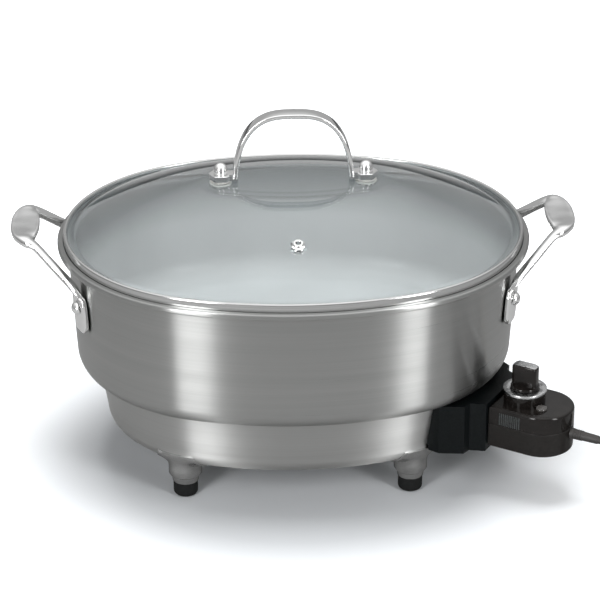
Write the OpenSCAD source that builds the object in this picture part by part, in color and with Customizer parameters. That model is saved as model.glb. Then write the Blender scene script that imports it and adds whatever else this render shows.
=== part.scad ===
/* [Pan] */
// Length of the rim, outside
rim_l = 380; // [350:1:400]
// Width of the rim, outside
rim_w = 300; // [280:1:320]
// How far the radius of the oval's ends falls short of half the width
end_short = 8; // [6:1:12]
// Height of the rim above the table
rim_z = 194; // [186:1:204]
// Height of the rim's rolled bead
bead_h = 5; // [4.5:0.5:8]
// Width of the rim's rolled bead
bead_w = 4.4; // [4:0.2:6]
// Depth of the step inside the bead that the lid sits in
lid_seat = 1.5; // [1:0.1:2.5]
// Thickness of the pan's flange
flange_t = 2.2; // [1.6:0.1:3]
// Distance of the outer wall behind the rim's edge
wall_in = 8; // [7:0.5:10]
// How far the outer wall draws in on its way down
wall_draft = 5; // [3:0.5:6]
// Thickness of the outer shell's steel
shell_t = 1.2; // [0.8:0.1:1.6]
// Radius of the outer shell's lower edge
step_r = 15; // [10:1:18]
// Air gap between the outer shell and the pan
air_gap = 4; // [3.6:0.1:6]
// Thickness of the pan's wall
pan_t = 3; // [2:0.1:4]
// Thickness of the pan's floor
floor_t = 5; // [3:0.5:7]
// Depth of the pan below the rim
pan_depth = 97; // [80:1:100]
// Inside radius between the pan's wall and its floor
pan_r = 20; // [10:1:30]

/* [Base] */
// Height of the step between the outer shell and the base
step_z = 85; // [82:1:88]
// Height of the base's lower edge above the table
base_z = 33; // [28:1:38]
// Distance of the base's upper edge behind the rim's edge
base_in = 30; // [29:0.5:34]
// How far the base draws in on its way down
base_draft = 6; // [4:0.5:8]
// Radius of the base's lower edge
base_r = 14; // [10:0.5:16]
// Thickness of the base's steel
base_t = 1.5; // [1:0.1:2]
// Width of the base's inward flanges
base_flange = 10; // [8:1:14]
// Thickness of the bottom cover
cover_t = 1.2; // [0.8:0.1:2]
// Length of a vent slot in the bottom cover
slot_l = 36; // [20:1:44]
// Width of a vent slot in the bottom cover
slot_w = 4; // [3:0.5:6]
// Number of vent slots in a row
slot_n = 9; // [5:2:11]
// Distance between vent slots
slot_pitch = 10; // [8:1:12]

/* [Heating] */
// Thickness of the heat plate under the pan
plate_t = 8; // [8:0.5:10]
// Distance of the heat plate's edge behind the rim's edge
plate_in = 54; // [52:1:60]
// Diameter of the heating tube
tube_d = 6.5; // [5:0.5:7]
// Distance of the heating tube behind the rim's edge
tube_in = 82; // [78:1:90]
// Gap in the heating tube's loop where its ends turn out
tube_gap = 22; // [20:1:26]

/* [Legs] */
// Distance of a leg from the middle, along the length
leg_x = 91; // [80:1:96]
// Distance of a leg behind the base's side
leg_in = 19; // [17.5:0.5:21]
// Diameter of a leg at the top
leg_d = 27; // [24:1:30]
// Diameter of a leg at the foot
leg_tip_d = 21; // [20:0.5:23]
// Height of a leg's narrow tip
leg_tip_h = 6; // [4:0.5:8]
// How far a leg's ear spreads out against the base
leg_flare = 9; // [6:1:12]
// Thickness of the ear that joins a leg to the base
leg_ear = 1.4; // [1:0.1:2]
// Diameter of a rubber foot
foot_d = 19.8; // [17:0.2:20]
// Height of a rubber foot
foot_h = 12; // [9:0.5:14]
// Diameter of a foot screw
foot_screw_d = 4; // [3:0.5:5]

/* [Side handles] */
// Distance from the middle to a handle's outer edge
handle_x = 226.5; // [224:0.5:232]
// Height of a handle's thumb pad above the rim
handle_rise = 16; // [12:0.5:19]
// Width of a thumb pad
pad_w = 23; // [18:0.5:26]
// Length of a thumb pad
pad_l = 68; // [62:1:72]
// Thickness of a thumb pad
pad_t = 9; // [7:0.5:10.5]
// Depth of the dish in a thumb pad
dish = 1.6; // [1:0.1:2.5]
// Width of a handle's strap
strap_w = 10; // [8:0.5:12]
// Thickness of a handle's strap
strap_t = 6.5; // [5:0.5:8]
// Angle of a handle's flange on the end of the pan
flange_a = 24; // [22:0.5:26]
// Width of a handle's flange
flange_w = 21; // [18:0.5:24]
// Height of a handle's flange
flange_h = 30; // [27:0.5:33]
// Thickness of a handle's flange
flange_thk = 5; // [3.5:0.1:6]
// Distance of a handle's rivet below the rim
rivet_drop = 36; // [34:0.5:42]
// Diameter of a rivet's head
rivet_d = 11.5; // [9:0.5:13]
// Height of a rivet's head
rivet_h = 4.2; // [3:0.1:5]
// Diameter of a rivet's shank
rivet_shank = 5; // [4:0.5:6]

/* [Lid] */
// Thickness of the lid's glass
glass_t = 4; // [3:0.1:5]
// Rise of the glass above its edge
glass_rise = 43; // [36:1:50]
// Half the width of the flat crown of the glass
crown_w = 32; // [26:1:34]
// Height of the lid's steel band
band_h = 8; // [7:0.1:10]
// Width of the lid's steel band
band_w = 3; // [2.8:0.1:4.2]
// Thickness of the band's steel
band_t = 1; // [0.7:0.1:1.3]
// Distance of a lid handle bolt from the middle
bolt_x = 58; // [54:0.5:62]
// Height of the lid handle above the glass
arch_h = 55; // [48:0.5:60]
// Half the distance between the arch's legs at the foot
arch_foot = 46.5; // [44:0.5:48]
// How far each leg of the arch leans in
arch_lean = 7.4; // [4:0.2:10]
// Squareness of the arch's shoulders
arch_square = 3; // [2.4:0.1:3.6]
// Thickness of the arch
arch_t = 3.8; // [3:0.1:4.5]
// Width of the arch
arch_w = 14; // [11:0.5:15]
// Width of a hexagon foot across its corners
hex_d = 19.4; // [18:0.2:20]
// Thickness of a hexagon foot
hex_t = 5.6; // [4.5:0.1:7]
// Diameter of a cap nut
cap_d = 11; // [10:0.5:13]
// Height of a cap nut's straight part
cap_h = 3; // [2:0.5:5]
// Diameter of a lid handle bolt
bolt_d = 5; // [4:0.5:6]
// Thickness of a lid gasket
gasket_t = 1; // [0.8:0.1:1.5]
// Diameter of an inner washer
washer_d = 18; // [14:0.5:20]
// Distance of the steam vent from the middle, towards the front
vent_y = 88; // [80:1:96]
// Width of the steam vent across its corners
vent_d = 11; // [9:0.5:13]
// Diameter of the steam vent's hole
vent_hole = 4; // [3:0.1:5]

/* [Control] */
// Angle of the control on the end of the pan
ctrl_a = -32; // [-36:0.5:-28]
// Distance of the socket shroud's mouth inside the rim's edge
mouth_in = 5; // [3:0.5:7]
// Half the width of the socket shroud at its mouth
mouth_w = 28.5; // [27:0.5:30]
// Half the width of the socket shroud at its shoulder
shoulder_w = 41; // [38:0.5:43]
// Depth of the socket shroud in front of its shoulder
shoulder_u = 13; // [11:0.5:15]
// Height of the socket shroud
shroud_h = 42.5; // [40:0.5:44]
// Length of the control's body beyond the shroud, to the centre of its round end
body_l = 36; // [35:0.5:40]
// Radius of the control's round end
body_r = 25.5; // [24:0.5:26]
// Height of the control's body
body_h = 36; // [33:0.5:38]
// Height of the control's upper housing
upper_h = 15.5; // [14:0.5:17]
// Thickness of the control's housing
case_t = 2.2; // [1.8:0.1:3]
// Length of the control's nose inside the shroud
nose_l = 20; // [16:0.5:21]
// Half the width of the control's nose
nose_w = 19; // [17:0.5:20]
// Height of the control's nose
nose_h = 28; // [26:0.5:30]
// Distance of the dial beyond the shroud's mouth
dial_out = 20; // [19:0.5:21]
// Diameter of the dial's ring
dial_d = 35; // [32:0.5:38]
// Thickness of the dial's ring
dial_t = 2.4; // [2:0.2:3.6]
// Height of the dial's collar
collar_h = 8; // [6:0.5:12]
// Length of the knob
knob_l = 21; // [18:0.5:23]
// Thickness of the knob
knob_t = 9.5; // [8:0.5:12]
// Height of the knob above its ring
knob_h = 21; // [16:0.5:24]
// Diameter of the dial's shaft
shaft_d = 6; // [5:0.5:7]
// Diameter of the indicator lens
lens_d = 9; // [7:0.5:10]
// Distance of the indicator lens beside the control's axis
lens_w = 9.5; // [8:0.5:11]
// Diameter of the temperature probe
probe_d = 6; // [5:0.5:7]
// Length of the temperature probe beyond the nose
probe_l = 55; // [45:1:58]
// Distance of the probe above the control's underside
probe_z = 26.5; // [26:0.5:27]
// Diameter of a terminal pin
pin_d = 4.8; // [4:0.2:5]
// Length of a terminal pin in front of its block
pin_l = 16; // [12:0.5:16]
// Half the distance between the terminal pins
pin_w = 10; // [9:0.5:11]
// Distance of the terminal pins below the probe
pin_drop = 13; // [12.5:0.5:14]

/* [Cord] */
// Diameter of the cord
cord_d = 6; // [5:0.5:6.5]
// Length of the strain relief
relief_l = 24; // [20:1:30]
// Diameter of the strain relief where it leaves the control
relief_d = 9; // [8:0.5:11]
// Length of the plug's body
plug_l = 34; // [28:1:40]
// Width of the plug's body
plug_w = 27; // [24:1:32]
// Length of the plug's blades
blade_l = 16; // [14:1:19]
// Distance between the plug's blades
blade_gap = 12.7; // [12:0.1:13]

/* [Fits] */
// Gap between the lid and the pan
lid_gap = 0.3; // [0.2:0.1:0.5]
// Gap between pieces fixed to each other over a curved face
seat_gap = 0.2; // [0.1:0.05:0.3]
// Gap round pieces that slide into each other
slide_gap = 0.5; // [0.3:0.1:0.8]
// Gap round the turning shaft
run_gap = 0.06; // [0.04:0.01:0.09]

/* [Hidden] */
$fn = 96;
tiny = 0.01;

// The rim is an oval of four arcs: two ends and two sides, tangent to each other
half_l = rim_l / 2;
half_w = rim_w / 2;
end_r = half_w - end_short;
end_c = half_l - end_r;
side_r = (end_c * end_c + half_w * half_w - end_r * end_r) / (2 * end_short);
side_h = side_r - half_w;
turn = atan2(side_h, end_c);

// Distances along the control's axis from the centre of the pan's end
mouth_u = end_r - mouth_in;
dial_u = mouth_u + dial_out;

// Heights that several pieces share
seat_z = rim_z - lid_seat;
flange_z = seat_z - flange_t;
floor_z = rim_z - pan_depth;
floor_low = floor_z - floor_t;
plate_low = floor_low - plate_t;
cover_z = base_z + base_t;
leg_y = side_at(leg_x, base_in + base_draft) - leg_in;
probe_axis = step_z - seat_gap - shroud_h + 3.7 + probe_z;
body_low = probe_axis - probe_z;
body_top = body_low + body_h;
pin_z = probe_axis - pin_drop;
shroud_top = step_z - seat_gap;
shroud_low = shroud_top - shroud_h;

// Distance of the side of the oval from the middle line, at a place along the length
function side_at(x, d) = sqrt((side_r - d) * (side_r - d) - x * x) - side_h;

// Points along an arc
function arc(x, y, r, a0, a1, n = 6) =
    [for (i = [0:n]) let (a = a0 + (a1 - a0) * i / n) [x + r * cos(a), y + r * sin(a)]];

// Outline of the oval, drawn in by d
function oval_points(d, ends = 18, sides = 8) = concat(
    [for (i = [0:ends - 1]) let (a = -turn + 2 * turn * i / ends)
        [end_c + (end_r - d) * cos(a), (end_r - d) * sin(a)]],
    [for (i = [0:sides - 1]) let (a = turn + (180 - 2 * turn) * i / sides)
        [(side_r - d) * cos(a), (side_r - d) * sin(a) - side_h]],
    [for (i = [0:ends - 1]) let (a = -turn + 2 * turn * i / ends)
        [-end_c - (end_r - d) * cos(a), -(end_r - d) * sin(a)]],
    [for (i = [0:sides - 1]) let (a = turn + (180 - 2 * turn) * i / sides)
        [-(side_r - d) * cos(a), side_h - (side_r - d) * sin(a)]]);

// A flat plate with the oval's outline, drawn in by d
module oval_plate(d, z0, z1) {
    translate([0, 0, z0]) linear_extrude(z1 - z0) polygon(oval_points(d));
}

// Skin between levels that follow the oval. Each level is [distance behind the rim's edge, height]
oval_n = len(oval_points(0));
function level_points(levels) = [for (p = levels) each [for (q = oval_points(p[0])) [q[0], q[1], p[1]]]];
function skin(k, up) = [for (j = [0:oval_n - 1]) let (i = (j + 1) % oval_n)
    each [[k * oval_n + j, up * oval_n + j, k * oval_n + i],
        [k * oval_n + i, up * oval_n + j, up * oval_n + i]]];
// Twice the area of a section, with its sign
function turn_of(list) = let (n = len(list))
    [for (i = [0:n - 1]) list[i][0] * list[(i + 1) % n][1] - list[(i + 1) % n][0] * list[i][1]]
    * [for (i = [0:n - 1]) 1];

// A wall with a closed section, open in the middle
module oval_wall(section) {
    n = len(section);
    ring = turn_of(section) > 0 ? [for (i = [n - 1:-1:0]) section[i]] : section;
    polyhedron(points = level_points(ring), faces = [for (k = [0:n - 1]) each skin(k, (k + 1) % n)]);
}

// A solid from its lowest level round to its last, closed across the middle at both
module oval_solid(levels) {
    n = len(levels) - 1;
    polyhedron(points = level_points(levels), faces = concat(
        [[for (j = [0:oval_n - 1]) j], [for (j = [oval_n - 1:-1:0]) n * oval_n + j]],
        [for (k = [0:n - 1]) each skin(k, k + 1)]));
}

// The outer shell of drawn steel: rolled bead, seat for the pan, wall and lower edge
wall_low_in = wall_in + wall_draft;
bead_r = 1.6;
cove_r = min(2.4, wall_in - bead_w - 1);
wall_top = flange_z - shell_t - cove_r;
module outer_shell() {
    color([0.62, 0.63, 0.64]) oval_wall(concat(
        [[bead_w, rim_z]],
        arc(bead_r, rim_z - bead_r, bead_r, 90, 180, 2),
        arc(bead_r, rim_z - bead_h + bead_r, bead_r, 180, 270, 2),
        [[bead_w - 1, rim_z - bead_h], [bead_w - 1, flange_z - shell_t]],
        arc(wall_in - cove_r, wall_top, cove_r, 90, 0, 2),
        arc(wall_low_in + step_r, step_z + step_r, step_r, 180, 270, 4),
        [[base_in + base_flange, step_z], [base_in + base_flange, step_z + shell_t]],
        arc(wall_low_in + step_r, step_z + step_r, step_r - shell_t, 270, 180, 4),
        arc(wall_in - cove_r, wall_top, cove_r + shell_t, 0, 90, 2),
        [[bead_w, flange_z]]));
}

// The cast pan, with the flange that hangs it in the shell
pan_in = wall_in + shell_t + air_gap;
pan_draft = 3;
module cooking_pan() {
    low_in = pan_in + pan_draft;
    floor_in = low_in + pan_t + pan_r;
    color([0.74, 0.76, 0.77]) oval_solid(concat(
        arc(floor_in, floor_low + pan_t + pan_r, pan_t + pan_r, 270, 180, 5),
        [[pan_in, flange_z], [bead_w + seat_gap, flange_z], [bead_w + seat_gap, seat_z]],
        arc(pan_in + pan_t - 1.5, seat_z - 1.5, 1.5, 90, 0, 2),
        arc(floor_in, floor_z + pan_r, pan_r, 180, 270, 5)));
}

// The cast plate that spreads the heat, with the channel that the heating tube lies in
tube_z = plate_low + tube_d / 2 + 1;
module heat_plate() {
    color([0.7, 0.7, 0.71]) difference() {
        oval_plate(plate_in, plate_low, floor_low);
        translate([0, 0, plate_low - 1]) linear_extrude(tube_z + tube_d / 2 + seat_gap - plate_low + 1)
            difference() {
                polygon(oval_points(tube_in - tube_d / 2 - 1));
                polygon(oval_points(tube_in + tube_d / 2 + 1));
            }
        on_axis() translate([end_r - tube_in - tube_d, -tube_gap, plate_low - 1])
            cube([60, 2 * tube_gap, tube_z + tube_d / 2 + seat_gap - plate_low + 1]);
    }
}

// Places a piece on the control's axis: X runs outwards from the centre of the pan's end
module on_axis() {
    translate([end_c, 0, 0]) rotate([0, 0, ctrl_a]) children();
}

// The heating tube: one loop with its ends turned out to the terminals
tube_stub = 16;
loop_r = end_r - tube_in;
gap_a = asin(tube_gap / 2 / loop_r);
elbow_u = loop_r * cos(gap_a);
function arc_at(x, y, r, a0, a1, n) = [for (i = [0:n]) let (a = a0 + (a1 - a0) * i / n)
    [x + r * cos(a), y + r * sin(a), tube_z]];
function on_axis_at(u, w, z) = [end_c + u * cos(ctrl_a) - w * sin(ctrl_a), u * sin(ctrl_a) + w * cos(ctrl_a), z];
function but_last(list) = [for (i = [0:len(list) - 2]) list[i]];
tube_path = concat(
    [on_axis_at(elbow_u + tube_stub, tube_gap / 2, tube_z), on_axis_at(elbow_u + 8, tube_gap / 2, tube_z),
        on_axis_at(elbow_u + 3, tube_gap / 2 + 1.5, tube_z)],
    but_last(arc_at(end_c, 0, loop_r, ctrl_a + gap_a + 8, turn, 8)),
    but_last(arc_at(0, -side_h, side_r - tube_in, turn, 180 - turn, 10)),
    but_last(arc_at(-end_c, 0, loop_r, 180 - turn, 180 + turn, 12)),
    but_last(arc_at(0, side_h, side_r - tube_in, 180 + turn, 360 - turn, 10)),
    arc_at(end_c, 0, loop_r, 360 - turn, 360 + ctrl_a - gap_a - 8, 3),
    [on_axis_at(elbow_u + 3, -tube_gap / 2 - 1.5, tube_z), on_axis_at(elbow_u + 8, -tube_gap / 2, tube_z),
        on_axis_at(elbow_u + tube_stub, -tube_gap / 2, tube_z)]);
module heating_tube() {
    color([0.35, 0.35, 0.36]) swept_tube(tube_path, tube_d, 6);
}

// Ceramic beads that close the ends of the heating tube
module tube_seals() {
    color([0.9, 0.88, 0.84]) on_axis() for (side = [-1, 1])
        translate([elbow_u + tube_stub, side * tube_gap / 2, tube_z]) rotate([0, 90, 0]) {
            cylinder(d = tube_d, h = 4, $fn = 32);
            cylinder(d = 3, h = 8, $fn = 32);
        }
}

// The base's steel skirt, with flanges at the top and the bottom
base_low_in = base_in + base_draft;
module base_skirt() {
    color([0.6, 0.61, 0.62]) difference() {
        oval_wall(concat(
            [[base_in, step_z]],
            arc(base_low_in + base_r, base_z + base_r, base_r, 180, 270, 4),
            [[base_low_in + base_r + base_flange, base_z], [base_low_in + base_r + base_flange, cover_z]],
            arc(base_low_in + base_r, base_z + base_r, base_r - base_t, 270, 180, 4),
            [[base_in + base_t, step_z - base_t], [base_in + base_flange, step_z - base_t],
                [base_in + base_flange, step_z]]));
        on_axis() translate([end_r - base_low_in - base_r - base_flange, -nose_w - 2, body_low])
            cube([base_flange + base_r + base_draft + 12, 2 * nose_w + 4, probe_axis + 7 - body_low]);
    }
}

// Places a leg at each corner of the base
module at_leg(sx, sy) {
    translate([sx * leg_x, sy * leg_y, 0]) children();
}

// The bottom cover, with rows of vent slots and holes for the foot screws
module bottom_cover() {
    color([0.66, 0.67, 0.68]) difference() {
        oval_plate(base_low_in + base_r + 2, cover_z, cover_z + cover_t);
        for (row = [-1, 1], i = [-(slot_n - 1) / 2:(slot_n - 1) / 2])
            translate([i * slot_pitch, row * slot_l * 0.75, cover_z - 1]) linear_extrude(cover_t + 2)
                square([slot_w, slot_l], center = true);
        for (sx = [-1, 1])
            translate([sx * cover_screw_x, 0, cover_z - 1])
                cylinder(d = cover_screw_d + 2 * seat_gap, h = cover_t + 2, $fn = 32);
    }
}
cover_screw_x = half_l - base_low_in - base_r - base_flange / 2;
cover_screw_d = 4;
cover_screw_h = 2.4;

// Screws that hold the bottom cover to the base
module cover_screws() {
    color([0.75, 0.75, 0.76]) for (sx = [-1, 1])
        translate([sx * cover_screw_x, 0, cover_z + cover_t]) {
            cylinder(d = 2 * cover_screw_d, h = cover_screw_h, $fn = 32);
            translate([0, 0, -cover_t]) cylinder(d = cover_screw_d, h = cover_t + tiny, $fn = 32);
        }
}

// A cast leg: narrow tip, shoulder and a post that ends under the base's lower edge
leg_step = 0.8;
leg_top = base_z + base_r;
ear_top = leg_top - 0.5;
module leg() {
    tip_top = foot_h + leg_tip_h;
    difference() {
        rotate_extrude() polygon(concat(
            [[0, foot_h], [leg_tip_d / 2 - 1, foot_h], [leg_tip_d / 2, foot_h + 1],
                [leg_tip_d / 2 + leg_step, tip_top], [leg_d / 2 - leg_step, tip_top + leg_step]],
            arc(leg_d / 2 + leg_flare / 2, base_z, leg_flare / 2, 180, 130, 3),
            [[leg_d / 2 + leg_flare / 4, leg_top - 1], [0, leg_top - 1]]));
        translate([0, 0, foot_h - 1]) cylinder(d = foot_screw_d, h = base_z - foot_h, $fn = 32);
    }
}

// Levels of the base's lower edge, drawn out by a distance
edge_steps = 4;
function lower_edge(out) = [for (i = [edge_steps:-1:0]) let (a = 180 + 90 * i / edge_steps)
    [base_low_in + base_r + (base_r + out) * cos(a), leg_top + (base_r + out) * sin(a)]];

// The ear follows the base's lower edge and the post ends against it
module seated_leg(sx, sy) {
    color([0.63, 0.64, 0.65]) difference() {
        union() {
            at_leg(sx, sy) leg();
            intersection() {
                at_leg(sx, sy) translate([0, 0, base_z - leg_ear - 1])
                    cylinder(d = leg_d + 2 * leg_flare, h = ear_top - base_z + leg_ear + 1, $fn = 48);
                oval_solid(concat(lower_edge(leg_ear), [[base_low_in - leg_ear, leg_top + 1]]));
            }
        }
        oval_solid(concat(lower_edge(seat_gap), [[base_low_in - seat_gap, leg_top + 2]]));
    }
}
module leg_front_left() { seated_leg(-1, -1); }
module leg_front_right() { seated_leg(1, -1); }
module leg_rear_left() { seated_leg(-1, 1); }
module leg_rear_right() { seated_leg(1, 1); }

// A rubber foot: a rounded cap with a recess for its screw
foot_round = 3.5;
screw_head_d = 8;
screw_head_h = 3;
module foot(sx, sy) {
    color([0.07, 0.075, 0.075]) at_leg(sx, sy) rotate_extrude() polygon(concat(
        [[screw_head_d / 2 + seat_gap, 0]],
        arc(foot_d / 2 - foot_round, foot_round, foot_round, 270, 360, 6),
        [[foot_d / 2, foot_h], [foot_screw_d / 2 + seat_gap, foot_h],
            [foot_screw_d / 2 + seat_gap, screw_head_h + 2],
            [screw_head_d / 2 + seat_gap, screw_head_h + 2]]));
}
module foot_front_left() { foot(-1, -1); }
module foot_front_right() { foot(1, -1); }
module foot_rear_left() { foot(-1, 1); }
module foot_rear_right() { foot(1, 1); }

// Screws that go up through the feet into the legs
module foot_screws() {
    color([0.7, 0.7, 0.71]) for (sx = [-1, 1], sy = [-1, 1])
        at_leg(sx, sy) {
            translate([0, 0, 2]) cylinder(d = screw_head_d, h = screw_head_h, $fn = 32);
            translate([0, 0, 2]) cylinder(d = foot_screw_d - 2 * run_gap, h = foot_h + 3, $fn = 32);
        }
}

// Distance of the outer wall behind the rim's edge, at a height
function wall_at(z) = wall_in + wall_draft * (wall_top - z) / (wall_top - step_z - step_r);

// The right side handle, cast in one piece. The front half of it is set by posts, each with a place,
// the way its upper side faces, [half-width, half-thickness, dish, squareness]
rivet_z = rim_z - rivet_drop;
flange_top = rivet_z + rivet_d / 2 + 3;
pad_x = handle_x - pad_w / 2;
pad_z = rim_z + handle_rise - pad_t / 2;
wall_way = [-cos(flange_a), sin(flange_a), 0];
function on_wall(z) = let (r = end_r - wall_at(z) + seat_gap + flange_thk / 2)
    [end_c + r * cos(flange_a), -r * sin(flange_a), z];
flange_low = flange_top - flange_h;
bend = on_wall(flange_top);
strap_a = [bend[0] + 4.5, bend[1] + 1.2, flange_top + 8];
strap_b = [pad_x - 10, -pad_l / 2 + 0.5, pad_z - 5];
strap_up = [-0.76, 0.05, 0.65];
loop_posts = [
    [on_wall(flange_low), wall_way, [flange_w * 0.22, flange_thk * 0.3, 0, 0.7]],
    [on_wall(flange_low + 1.5), wall_way, [flange_w * 0.36, flange_thk / 2, 0, 0.5]],
    [on_wall(flange_low + 5), wall_way, [flange_w * 0.47, flange_thk / 2, 0, 0.5]],
    [on_wall(flange_low + 10), wall_way, [flange_w / 2, flange_thk / 2, 0, 0.5]],
    [on_wall(flange_top - 5), wall_way, [flange_w / 2, flange_thk / 2, 0, 0.5]],
    [bend + [0.4, 0, 0], wall_way, [flange_w * 0.38, flange_thk / 2, 0, 0.6]],
    [strap_a, strap_up, [strap_w / 2, strap_t * 0.47, 0, 0.8]],
    [(strap_a + strap_b) / 2, strap_up, [strap_w / 2, strap_t / 2, 0, 0.9]],
    [strap_b, strap_up, [strap_w / 2, strap_t / 2, 0, 0.9]],
    [[pad_x - 3, -pad_l / 2 + 4, pad_z - 1.5], [-0.3, 0, 0.95], [pad_w * 0.3, pad_t * 0.5, 0, 0.85]],
    [[pad_x - 0.5, -pad_l / 2 + 11, pad_z - 0.3], [-0.05, 0, 1], [pad_w * 0.43, pad_t / 2, dish * 0.6, 0.75]],
    [[pad_x, -pad_l * 0.16, pad_z], [0, 0, 1], [pad_w / 2, pad_t / 2, dish, 0.7]],
    [[pad_x, 0, pad_z], [0, 0, 1], [pad_w / 2, pad_t / 2, dish, 0.7]]
];
half_n = len(loop_posts) - 1;
function mirrored(v) = [v[0], -v[1], v[2]];
loop_list = [for (i = [0:2 * half_n]) let (p = loop_posts[min(i, 2 * half_n - i)])
    i > half_n ? [mirrored(p[0]), mirrored(p[1]), p[2]] : p];
function smooth(a, b, c, d, t) =
    0.5 * (2 * b + (c - a) * t + (2 * a - 5 * b + 4 * c - d) * t * t + (3 * b - a - 3 * c + d) * t * t * t);
function unit(v) = v / norm(v);
function part_of(k, u) = let (n = 2 * half_n, i = min(n - 1, floor(u)), t = u - i)
    smooth(loop_list[max(0, i - 1)][k], loop_list[i][k], loop_list[i + 1][k], loop_list[min(n, i + 2)][k], t);
loop_n = 4 * half_n;
loop_sides = 12;
function loop_ring(k) =
    let (u = k / 2, n = 2 * half_n, p = part_of(0, u), z = part_of(2, u), hint = part_of(1, u),
        ahead = unit(part_of(0, min(n, u + 0.1)) - part_of(0, max(0, u - 0.1))),
        up = unit(hint - ahead * (hint * ahead)), across = cross(ahead, up))
    [for (j = [0:loop_sides - 1]) let (a = 360 * (j + 0.5) / loop_sides, w = sin(a), h = cos(a),
        wide = sign(w) * pow(abs(w), z[3]), flat = sign(h) * pow(abs(h), z[3] * 0.8),
        dip = h > 0 ? z[2] * (1 - w * w) * h : 0)
        p + across * z[0] * wide + up * (z[1] * flat - dip)];
module handle_loop() {
    m = loop_sides;
    polyhedron(
        points = [for (k = [0:loop_n]) each loop_ring(k)],
        faces = concat(
            [[for (j = [m - 1:-1:0]) j], [for (j = [0:m - 1]) loop_n * m + j]],
            [for (k = [0:loop_n - 1], j = [0:m - 1]) [k * m + j, k * m + (j + 1) % m, (k + 1) * m + j]],
            [for (k = [0:loop_n - 1], j = [0:m - 1])
                [k * m + (j + 1) % m, (k + 1) * m + (j + 1) % m, (k + 1) * m + j]]));
}
module side_handle() {
    color([0.72, 0.73, 0.74]) difference() {
        handle_loop();
        translate([end_c, 0, rivet_z]) for (side = [-1, 1])
            rotate([0, 0, side * flange_a]) translate([end_r - wall_in - 20, 0, 0]) rotate([0, 90, 0])
                cylinder(d = rivet_shank + 2 * seat_gap, h = 40, $fn = 32);
    }
}
module handle_right() { side_handle(); }
module handle_left() { rotate([0, 0, 180]) side_handle(); }

// Two rivets: domed head, shank through the shell, and tail inside
module rivet_pair() {
    tail_h = 1.8;
    inner = end_r - wall_at(rivet_z) - shell_t - 0.2;
    outer = end_r - wall_at(rivet_z + rivet_d / 2) + flange_thk + 2 * seat_gap;
    head_r = (rivet_h * rivet_h + rivet_d * rivet_d / 4) / (2 * rivet_h);
    color([0.7, 0.71, 0.72]) translate([end_c, 0, rivet_z]) for (side = [-1, 1])
        rotate([0, 0, side * flange_a]) rotate([0, 90, 0]) rotate_extrude() polygon(concat(
            [[0, inner - tail_h], [rivet_shank / 2 + 1, inner - tail_h], [rivet_shank / 2 + 1, inner],
                [rivet_shank / 2, inner], [rivet_shank / 2, outer], [rivet_d / 2, outer]],
            [for (i = [1:6]) let (a = asin(rivet_d / 2 / head_r) * (1 - i / 6))
                [head_r * sin(a), outer + rivet_h - head_r * (1 - cos(a))]]));
}
module rivets_right() { rivet_pair(); }
module rivets_left() { rotate([0, 0, 180]) rivet_pair(); }

// The lid's glass: a dome whose every level is the same oval, drawn in, up to a flat crown
lid_in = bead_w + 0.5;
lid_low = seat_z + lid_gap;
glass_low = lid_low + band_t + 0.1;
glass_top = glass_low + glass_t;
dome_in = lid_in + band_w + 2;
crown_in = min(half_w - crown_w, half_l - bolt_x - washer_d / 2 - 2);
crown_z = glass_top + glass_rise;
dome_power = 1.35;
dome_n = 7;
function dome_at(d) = glass_top + glass_rise * (1 - pow(max(0, crown_in - d) / (crown_in - dome_in), dome_power));
function dome_slope(d) = glass_rise * dome_power / (crown_in - dome_in)
    * pow((crown_in - d) / (crown_in - dome_in), dome_power - 1);
function dome_line(drop) = [for (i = [0:dome_n]) let (d = dome_in + (crown_in - dome_in) * i / dome_n)
    [d, dome_at(d) - drop]];
bolt_hole = bolt_d + 2;
vent_tube = vent_hole + 2.4;
vent_a = atan(dome_slope(half_w - vent_y));
module at_vent() {
    translate([0, -vent_y, dome_at(half_w - vent_y)]) rotate([vent_a, 0, 0]) children();
}
module at_bolts() {
    for (side = [-1, 1]) translate([side * bolt_x, 0, crown_z]) children();
}
module lid_glass() {
    edge_in = lid_in + band_t + 0.3;
    under = dome_line(glass_t);
    color([0.75, 0.8, 0.8, 0.4]) difference() {
        oval_solid(concat([for (i = [dome_n:-1:0]) under[i]],
            [[edge_in, glass_low], [edge_in, glass_top]], dome_line(0)));
        at_bolts() translate([0, 0, -glass_t - 1]) cylinder(d = bolt_hole, h = glass_t + 2, $fn = 32);
        at_vent() translate([0, 0, -glass_t - 2]) cylinder(d = vent_tube + 1, h = glass_t + 5, $fn = 32);
    }
}

// The steel band crimped round the glass
module lid_band() {
    lid_out = lid_in + band_w;
    top = lid_low + band_h;
    color([0.7, 0.71, 0.72]) oval_wall(concat(
        [[lid_in, lid_low]],
        arc(lid_in + band_w / 2, top - band_w / 2, band_w / 2, 180, 0, 5),
        [[lid_out, glass_top + 0.1], [lid_in + band_t, glass_top + 0.1],
            [lid_in + band_t, glass_low - 0.1], [lid_out, glass_low - 0.1], [lid_out, lid_low]]));
}

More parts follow.
